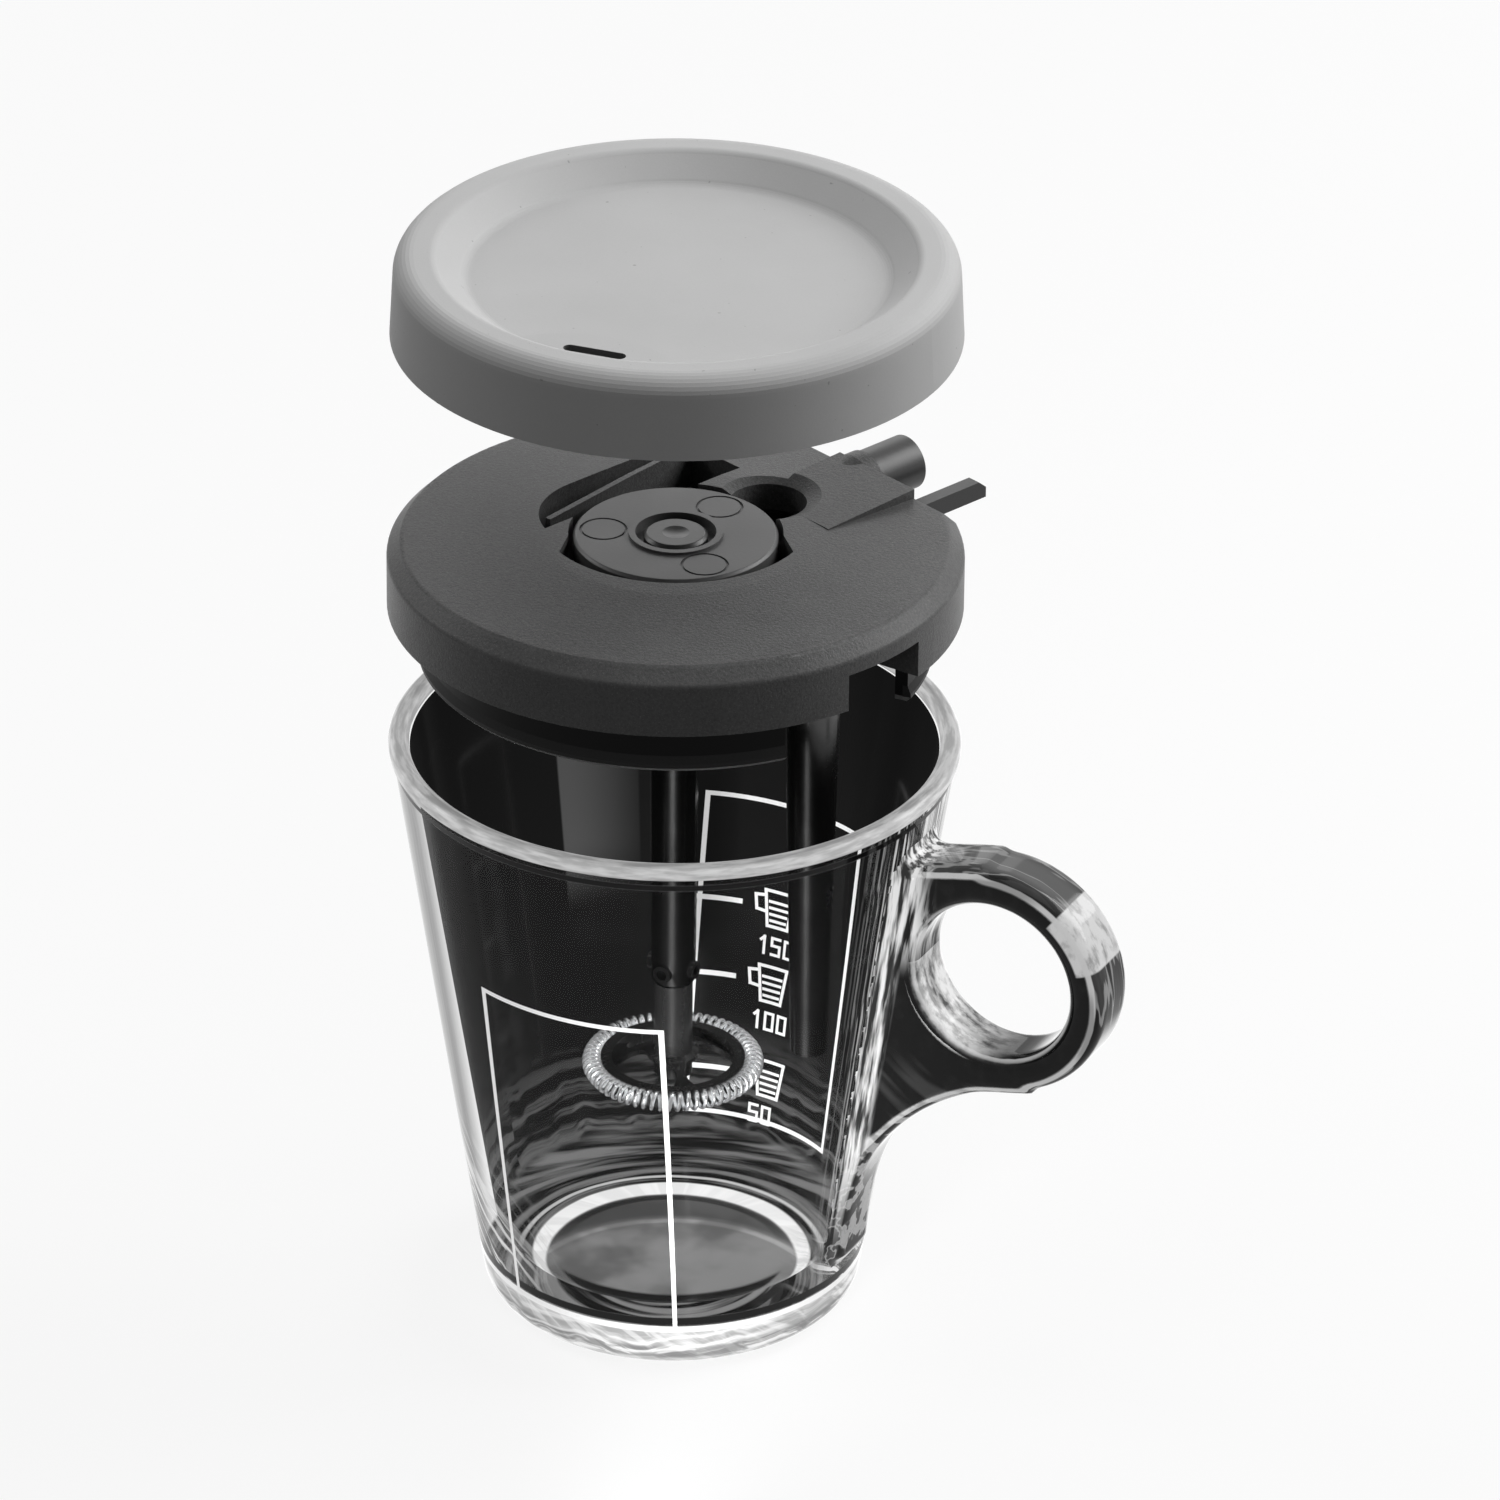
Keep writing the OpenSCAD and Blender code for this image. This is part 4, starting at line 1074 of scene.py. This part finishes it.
@dataclass
class Mug:
    """The pressed glass mug with its handle and its printed frames."""

    height: float = 93.0
    rim_r: float = 42.0
    lean: float = 8.6
    bore_lean: float = 9.0
    rim_wall: float = 2.6
    bead_proud: float = 0.25
    floor: float = 8.5
    floor_round: float = 6.0
    foot_round: float = 5.0
    punt_r: float = 19.0
    punt_h: float = 1.5
    punt_round: float = 0.4
    ring_at: tuple[float, float] = (54.5, 67.5)
    hole_r: float = 12.25
    ring_bar: float = 5.6
    handle_w: float = 10.4
    handle_round: float = 2.3
    tail_r: float = 37.0
    glow_r: float = 20.7
    glow_shift: float = 8.0

    @property
    def bead(self) -> float:
        """Radius of the rim's bead."""
        return self.rim_wall / 2 + self.bead_proud

    def outer(self, z: float | np.ndarray) -> float | np.ndarray:
        """Radius of the outer wall at a height."""
        return self.rim_r - self.bead_proud - (self.height - z) * math.tan(math.radians(self.lean))

    def inner(self, z: float | np.ndarray) -> float | np.ndarray:
        """Radius of the inner wall at a height."""
        drop = (self.height - z) * math.tan(math.radians(self.bore_lean))
        return self.rim_r - self.bead_proud - self.rim_wall - drop

    @property
    def flat_r(self) -> float:
        """Radius of the flat part of the glass floor."""
        return self.inner(self.floor + self.floor_round) - self.floor_round / math.cos(
            math.radians(self.bore_lean)
        )

    def build(self) -> None:
        """Builds every piece of the mug."""
        plan = GlassPlan(
            height=self.height,
            lean=self.lean,
            base_r=self.outer(0.0),
            floor=self.floor,
            glow_r=self.glow_r,
            glow_shift=self.glow_shift,
            ring_x=self.ring_at[0],
            ring_z=self.ring_at[1],
            hole_r=self.hole_r,
            ring_bar=self.ring_bar,
            half_w=self.handle_w / 2,
        )
        faces = {face: PressedGlass(face, plan).material() for face in GlassFace}
        self.wall(faces)
        self.handle(faces[GlassFace.HANDLE])
        self.prints()

    def keep(self, name: str, mesh: tuple, finish: bpy.types.Material) -> bpy.types.Object:
        """Makes one piece of the mug."""
        return piece(name, *mesh, finish, "mug", "clear_glass")

    def wall(self, faces: dict[GlassFace, bpy.types.Material]) -> None:
        """Builds the outer wall, the rim's bead and the inner wall as three lathed faces.

        Args:
            faces: The material of each face.
        """
        foot_r = self.outer(self.foot_round) - self.foot_round / math.cos(math.radians(self.lean))
        top = self.height - self.bead
        bead_at = (self.rim_r - self.bead, top)
        outside = [(0, self.punt_h), (self.punt_r - self.punt_h, self.punt_h)]
        outside += arc((self.punt_r, self.punt_round), self.punt_round, 200, 270, 4)
        outside += arc((foot_r, self.foot_round), self.foot_round, -90, -self.lean, 14)
        rings = [outside[-1][1] + (top - outside[-1][1]) * i / 24 for i in range(1, 25)]
        outside += [(self.outer(z), z) for z in rings]
        shell = self.keep("mug_outer_face", lathe(outside), faces[GlassFace.OUTSIDE])
        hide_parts("glass_mug")
        self.keep("mug_rim", lathe(arc(bead_at, self.bead, -14, 194, 26)), faces[GlassFace.RIM])
        cove = (self.flat_r, self.floor + self.floor_round)
        rings = [top - 0.5 - i * 3.0 for i in range(25)]
        inside = [(self.inner(z), z) for z in rings]
        inside += arc(cove, self.floor_round, -self.bore_lean, -90, 14)
        inside += [(10, self.floor), (0, self.floor)]
        self.keep("mug_inner_face", lathe(inside), faces[GlassFace.INSIDE])

    def handle_field(self, at: np.ndarray) -> np.ndarray:
        """Gives the distance to the handle, with fillets where it runs into the wall.

        Args:
            at: Points as rows of three.

        Returns:
            The distances, negative inside.
        """
        lean = math.radians(self.lean)
        ring = np.array(self.ring_at)
        ring_r = self.hole_r + self.ring_bar
        off = (ring[0] - self.outer(ring[1])) * math.cos(lean)
        fall = math.sqrt((ring_r + self.tail_r) ** 2 - (off - self.tail_r) ** 2)
        tail = ring + np.array(
            [
                (self.tail_r - off) * math.cos(lean) - fall * math.sin(lean),
                -(self.tail_r - off) * math.sin(lean) - fall * math.cos(lean),
            ]
        )
        flat = at[:, [0, 2]]
        web = polygon_distance(
            flat,
            [
                (ring[0] - 2.5, ring[1] + ring_r - 0.3),
                (self.outer(83.0) - 2.0, 83.2),
                (self.outer(float(tail[1])) - 2.0, float(tail[1])),
                (float(tail[0]), float(tail[1])),
                (ring[0] + 3.0, ring[1]),
            ],
        )
        web = np.maximum(web, self.tail_r - np.hypot(*(flat - tail).T))
        away = np.hypot(*(flat - ring).T)
        plan = smooth_least(away - ring_r, web, 2.5)
        plan = np.maximum(plan, self.hole_r - away)
        soft = self.handle_round
        near = np.stack([plan + soft, np.abs(at[:, 1]) - self.handle_w / 2 + soft], 1)
        plate = np.minimum(near.max(1), 0) + np.hypot(*np.maximum(near, 0).T) - soft
        wall = (np.hypot(at[:, 0], at[:, 1]) - self.outer(at[:, 2])) * math.cos(lean)
        return smooth_least(plate, wall, 3.2)

    def handle(self, finish: bpy.types.Material) -> None:
        """Builds the handle from its distance field, down to where it leaves the wall.

        Args:
            finish: Its material.
        """
        points, quads = surface_net(self.handle_field, (27, -14, 8), (75, 14, 91), 0.6)
        proud = np.hypot(points[:, 0], points[:, 1]) - self.outer(points[:, 2])
        kept = quads[(proud[quads] > 0.03).all(1)]
        used, index = np.unique(kept, return_inverse=True)
        self.keep("mug_handle", (points[used], index.reshape(-1, 4)), finish)

    def ribbon(
        self, path: Sequence[tuple[float, float]], width: float, inward: bool
    ) -> tuple[list[tuple[float, float, float]], list[list[int]]]:
        """Lays a printed line on the wall.

        Args:
            path: Angle in degrees and height of each corner.
            width: Width of the line.
            inward: Whether it lies on the inner face.

        Returns:
            Points and faces.
        """
        points: list[tuple[float, float, float]] = []
        faces: list[list[int]] = []
        wall, proud = (self.inner, -0.04) if inward else (self.outer, 0.03)
        for (a0, z0), (a1, z1) in zip(path, path[1:], strict=False):
            mean = wall((z0 + z1) / 2) + proud
            run = math.radians(a1 - a0) * mean
            length = math.hypot(run, z1 - z0)
            if length < 1e-6:
                continue
            nx, nz = -(z1 - z0) / length * width / 2, run / length * width / 2
            extra = width / 2 / length
            steps = max(1, int(length / 1.5))
            for i in range(steps + 1):
                t = -extra + (1 + 2 * extra) * i / steps
                for side in (-1, 1):
                    z = z0 + (z1 - z0) * t + side * nz
                    a = math.radians(a0 + (a1 - a0) * t) + side * nx / mean
                    r = wall(z) + proud
                    points.append((r * math.cos(a), r * math.sin(a), z))
            start = len(points) - 2 * (steps + 1)
            for i in range(steps):
                k = start + 2 * i
                quad = [k, k + 2, k + 3, k + 1]
                faces.append(quad[::-1] if inward else quad)
        return points, faces

    def frame_line(
        self, middle: float, top: float, half_top: float, half_low: float, low: float
    ) -> list[tuple[float, float]]:
        """Gives the outline of a printed frame.

        Args:
            middle: Angle of its middle in degrees.
            top: Height of its upper side.
            half_top: Half the angle that its upper side spans.
            half_low: Half the angle that its lower side spans.
            low: Height of its lower side.

        Returns:
            Angle and height of each corner, as one closed line.
        """
        return [
            (middle - half_top, top),
            (middle + half_top, top),
            (middle + half_low, low),
            (middle - half_low, low),
            (middle - half_top, top),
        ]

    def prints(self) -> None:
        """Prints a bare frame on the front, and a frame with level marks on the rear."""
        front = [(0.75, self.frame_line(-87.5, 63.4, 22.6, 26.4, 8.0))]
        rear = [(0.7, self.frame_line(86.5, 64.0, 22.8, 27.1, 13.4))]
        for level, middle, number in ((47.5, 88, "150"), (35.5, 88, "100"), (20.5, 86, "50")):
            rear += self.level_mark(level, middle, number)
        for name, lines in (("front", front), ("rear", rear)):
            for inward in (False, True):
                points: list = []
                faces: list = []
                for width, path in lines:
                    more, quads = self.ribbon(path, width, inward)
                    faces += [[k + len(points) for k in quad] for quad in quads]
                    points += more
                side = "inside" if inward else "outside"
                ink = PrintedInk(f"ink_{name}_{side}", grey(235)).material()
                self.keep(f"print_{name}_{side}", (points, faces), ink)

    def level_mark(self, level: float, middle: float, number: str) -> list[tuple[float, list]]:
        """Gives one level mark: a dash, a small mug filled up to a line, and a plain number.

        Args:
            level: Height of the mark.
            middle: Angle of the small mug.
            number: The number in millilitres.

        Returns:
            Widths and paths.
        """
        per = 180 / math.pi / self.outer(level)
        dash = [(7, 0), (14, 0)]
        cup = [(-2.6, 2.6), (2.6, 2.6), (1.9, -3.0), (-1.9, -3.0), (-2.6, 2.6)]
        ear = [(2.5, 1.8), (4.3, 1.6), (4.0, -0.6), (2.2, -0.8)]
        shapes = [(0.8, dash), (0.5, cup), (0.5, ear)]
        for k in range(4):
            half, v = 1.7 - 0.12 * k, 0.9 - 1.0 * k
            shapes.append((0.45, [(-half, v), (half, v)]))
        strokes = {
            "0": [[(0, 0), (1, 0), (1, 2), (0, 2), (0, 0)]],
            "1": [[(0.3, 1.6), (0.7, 2), (0.7, 0)]],
            "5": [[(1, 2), (0, 2), (0, 1.1), (1, 1.1), (1, 0), (0, 0)]],
        }
        for k, digit in enumerate(number):
            for stroke in strokes[digit]:
                start = 3.2 - 2.5 * k
                shapes.append((0.45, [(start - 1.5 * u, 1.3 * v - 7.4) for u, v in stroke]))
        return [(w, [(middle + u * per, level + v) for u, v in path]) for w, path in shapes]


@dataclass
class Head:
    """The frother head: its shells, its steam line, its chute and its shaft sleeve."""

    # height of the plug's lower edge, where a highlight is painted
    plug_edge: float = 106.45
    finishes: dict[str, Finish] = field(
        default_factory=lambda: {
            "head_cover": MouldedPlastic(
                "charcoal_shell", grey(86), 0.36, 0.46, 0.09, 1.15, 0.14, dusting=0.24
            ),
            "guide_peg": MouldedPlastic("black_peg", grey(40), 0.4, 0.6, 0.012, 0.3, 0.4),
            "steam_connector": MouldedPlastic(
                "black_connector", grey(46), 0.38, 0.6, 0.012, 0.35, 0.45
            ),
            "steam_tube": MouldedPlastic("black_tube", grey(9), 0.24, 0.9, 0.006, 0.3, 0.8),
            "shaft_sleeve": MouldedPlastic("black_sleeve", grey(9), 0.24, 0.9, 0.006, 0.3, 0.8),
            "coffee_chute": MouldedPlastic("black_chute", grey(14), 0.4, 0.8, 0.01, 0.3, 0.3),
            "connector_seal": SealRubber("o_ring", grey(14)),
            "tube_seal": SealRubber("tube_washer", grey(30)),
            "steam_hose": SoftSilicone("inner_hose", grey(185), 0.4),
            "upper_bush": WorkedMetal("upper_brass", (0.56, 0.38, 0.14), 0.24),
            "lower_bush": WorkedMetal("lower_brass", (0.56, 0.38, 0.14), 0.24),
        }
    )

    def dress(self) -> None:
        """Gives each node of the head its finish; the plug and its seal get a painted highlight
        along their lower edge.
        """
        highlight_lip = self.plug_edge
        base = MouldedPlastic("black_base", grey(10), 0.35, 0.8, 0.01, 0.3, 0.06, highlight_lip=highlight_lip)
        self.finishes["head_base"] = base
        self.finishes["rim_seal"] = SealRubber("plug_seal", grey(20), highlight_lip=highlight_lip)
        dress(self.finishes)


@dataclass
class Drive:
    """The turning parts: drive disc, magnets, shaft, whisk hub and spring ring."""

    spring_r: float = 12.05
    coil_r: float = 1.24
    wire_r: float = 0.31
    turns: int = 62
    per_turn: int = 20
    sides: int = 8
    finishes: dict[str, Finish] = field(
        default_factory=lambda: {
            "drive_disc": MouldedPlastic("disc_shell", grey(84), 0.42, 0.5, 0.012, 0.3, 0.4),
            "drive_cap": MouldedPlastic("disc_cap", grey(62), 0.36, 0.5, 0.01, 0.3, 0.4),
            "magnet_plate": MouldedPlastic("disc_plate", grey(20), 0.45, 0.6, 0.01, 0.3, 0.3),
            "drive_magnets": WorkedMetal("nickel_magnets", (0.6, 0.6, 0.58), 0.22),
            "thrust_washer": WorkedMetal("washer_steel", (0.7, 0.7, 0.7), 0.2),
            "drive_shaft": WorkedMetal("shaft_steel", (0.66, 0.66, 0.67), 0.18, 7.0, True),
            "whisk_hub": MouldedPlastic("hub_black", grey(34), 0.25, 0.8, 0.01, 0.4, 0.5),
        }
    )

    def build(self) -> None:
        """Dresses the drive line and builds the spring."""
        dress(self.finishes)
        low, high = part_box("whisk_spring")
        self.spring((low.z + high.z) / 2 / MM)

    def spring(self, height: float) -> None:
        """Builds the spring ring as a wire swept round a helix on a circle.

        Args:
            height: Height of the ring's middle.
        """
        count = self.turns * self.per_turn
        i = np.arange(count)
        heading, twist = 2 * np.pi * i / count, 2 * np.pi * i / self.per_turn
        out = np.stack([np.cos(heading), np.sin(heading), np.zeros(count)], 1)
        side = np.stack([-np.sin(heading), np.cos(heading), np.zeros(count)], 1)
        up = np.array([0.0, 0.0, 1.0])
        radial = np.cos(twist)[:, None] * out + np.sin(twist)[:, None] * up
        centre = self.spring_r * out + self.coil_r * radial + height * up
        wire = []
        for k in range(self.sides):
            a = 2 * np.pi * k / self.sides
            wire.append(centre + self.wire_r * (math.cos(a) * radial + math.sin(a) * side))
        points = np.stack(wire, 1).reshape(-1, 3)
        k, n = np.meshgrid(np.arange(self.sides), i)
        nk, nn = (k + 1) % self.sides, (n + 1) % count
        quads = np.stack(
            [n * self.sides + k, n * self.sides + nk, nn * self.sides + nk, nn * self.sides + k], -1
        ).reshape(-1, 4)
        # the wire gets a painted glint, an emission that stands in for reflections
        finish = WorkedMetal("spring_wire", (0.82, 0.83, 0.84), 0.2, 5.0, painted_glint=0.28).material()
        made = piece("spring_ring", points, quads, finish, "rotor", "spring_steel")
        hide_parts("whisk_spring")


@dataclass
class Cover:
    """The silicone drinking cover, with its sip slot."""

    slot: tuple[float, float, float, float] = (33.4, -82.5, 4.65, 0.95)

    def dress(self) -> None:
        """Gives the cover its finish."""
        dress({"silicone_cover": SoftSilicone("cover_silicone", grey(182), slot=self.slot)})


def dress(finishes: dict[str, Finish]) -> None:
    """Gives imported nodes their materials.

    Args:
        finishes: A finish for each node.
    """
    for name, finish in finishes.items():
        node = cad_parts[name]
        made = finish.material()
        for place in node.material_slots:
            place.material = made
        log.info("dressed %s as %s", name, made.name)


# ---- studio ----


@dataclass
class Studio:
    """A white sweep, soft lamps and the camera.

    The floor's sizes are in metres, the camera's in millimetres and degrees.
    """

    distance: float = 1600.0
    elevation: float = 28.46
    azimuth: float = 27.32
    roll: float = -0.54
    focal: float = 10914.0
    picture: float = 1500.0
    sensor: float = 36.0
    aim_right: float = 11.05
    aim_up: float = 89.85
    floor_half: float = 6.0
    floor_drop: float = 0.0002

    def build(self) -> None:
        """Sets up the studio."""
        self.world()
        self.floor()
        self.lamps()
        self.camera()
        bpy.context.scene.view_settings.view_transform = "Standard"

    def paper(self, b: Bench) -> Channel:
        """Gives 1 for rays that show the backdrop itself: seen, mirrored or through glass.

        Args:
            b: The bench.

        Returns:
            1 for such rays, else 0.
        """
        rays = b.node("LightPath")
        seen = Channel(b, rays.outputs["Is Camera Ray"])
        mirrored = Channel(b, rays.outputs["Is Glossy Ray"])
        return seen.most(mirrored).most(Channel(b, rays.outputs["Is Transmission Ray"]))

    def world(self) -> None:
        """Makes the surroundings: white to look at, a low even fill to light by."""
        world = bpy.data.worlds.new("studio")
        bpy.context.scene.world = world
        b = Bench("studio", world)
        white, fill = (
            b.node("Background", {}, {"Color": (1.0, 1.0, 1.0), "Strength": strength}).outputs[0]
            for strength in (1.0, 0.03)
        )
        b.node("OutputWorld", {}, {"Surface": b.blend(self.paper(b), fill, white)})

    def floor(self) -> None:
        """Lays a pale floor that keeps the object's shadow."""
        b = Bench("floor_paper")
        seen = self.paper(b)
        dim, lit = (
            b.node("BsdfDiffuse", {}, {"Color": (level, level, level)}).outputs[0]
            for level in (0.07, 0.8)
        )
        plain = b.node("Emission", {}, {"Color": (1.0, 1.0, 1.0), "Strength": 1.0}).outputs[0]
        finish = b.finish(b.blend(seen, dim, b.blend(0.86, lit, plain)))
        mesh = bpy.data.meshes.new("floor")
        far = self.floor_half
        corners = [(-far, -far, 0), (far, -far, 0), (far, far, 0), (-far, far, 0)]
        mesh.from_pydata(corners, [], [(0, 1, 2, 3)])
        mesh.materials.append(finish)
        made = bpy.data.objects.new("floor", mesh)
        made.location.z = -self.floor_drop
        bpy.context.scene.collection.objects.link(made)

    def lamp(
        self,
        name: str,
        at: Sequence[float],
        size: tuple[float, float],
        power: float,
        target: Sequence[float] = (0.0, 0.0, 0.09),
        spread: float = 180.0,
    ) -> None:
        """Hangs a soft lamp.

        Args:
            name: Its name.
            at: Its place in metres.
            size: Its width and height in metres.
            power: Its power in watts.
            target: What it points at, else the middle of the object.
            spread: Angle of its beam in degrees.
        """
        data = bpy.data.lights.new(name, "AREA")
        data.shape = "RECTANGLE"
        data.size, data.size_y = size
        data.energy = power
        data.spread = math.radians(spread)
        made = bpy.data.objects.new(name, data)
        made.location = at
        made.visible_camera = False
        aim = Vector(target) - Vector(at)
        made.rotation_euler = aim.to_track_quat("-Z", "Y").to_euler()
        bpy.context.scene.collection.objects.link(made)

    def lamps(self) -> None:
        """Hangs one lamp overhead, three round the object and a low upright strip near the mug."""
        self.lamp("lamp_top", (0.12, -0.24, 1.15), (0.9, 0.9), 4.2)
        self.lamp("lamp_key", (0.66, 0.62, 0.74), (0.7, 0.7), 11.0)
        self.lamp("lamp_left", (-0.88, -0.05, 0.66), (0.34, 0.34), 1.7)
        self.lamp("lamp_back", (-0.5, 0.92, 0.56), (1.5, 0.4), 2.4)
        strip, whisk = (0.035, -0.094, 0.034), (0.01, 0.02, 0.034)
        self.lamp("lamp_strip", strip, (0.016, 0.064), 0.034, whisk, spread=55)

    def camera(self) -> None:
        """Places the camera."""
        e, a, r = (math.radians(v) for v in (self.elevation, self.azimuth, self.roll))
        back = Vector((math.sin(a) * math.cos(e), -math.cos(a) * math.cos(e), math.sin(e)))
        right = Vector((math.cos(a), math.sin(a), 0.0))
        up = back.cross(right)
        aim = right * self.aim_right * MM + Vector((0, 0, self.aim_up * MM))
        data = bpy.data.cameras.new("camera")
        data.sensor_width = self.sensor
        data.lens = self.focal / self.picture * self.sensor
        data.clip_start, data.clip_end = 0.05, 50.0
        made = bpy.data.objects.new("camera", data)
        across = right * math.cos(r) - up * math.sin(r)
        upright = right * math.sin(r) + up * math.cos(r)
        turn = Matrix((across, upright, back)).transposed().to_4x4()
        made.matrix_world = Matrix.Translation(aim + back * self.distance * MM) @ turn
        bpy.context.scene.collection.objects.link(made)
        bpy.context.scene.camera = made


def main() -> None:
    """Builds the looks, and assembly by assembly."""
    logging.basicConfig(level=logging.INFO, format="%(name)s: %(message)s")
    Studio().build()
    Mug().build()
    Head().dress()
    Drive().build()
    Cover().dress()


if __name__ == "__main__":
    main()
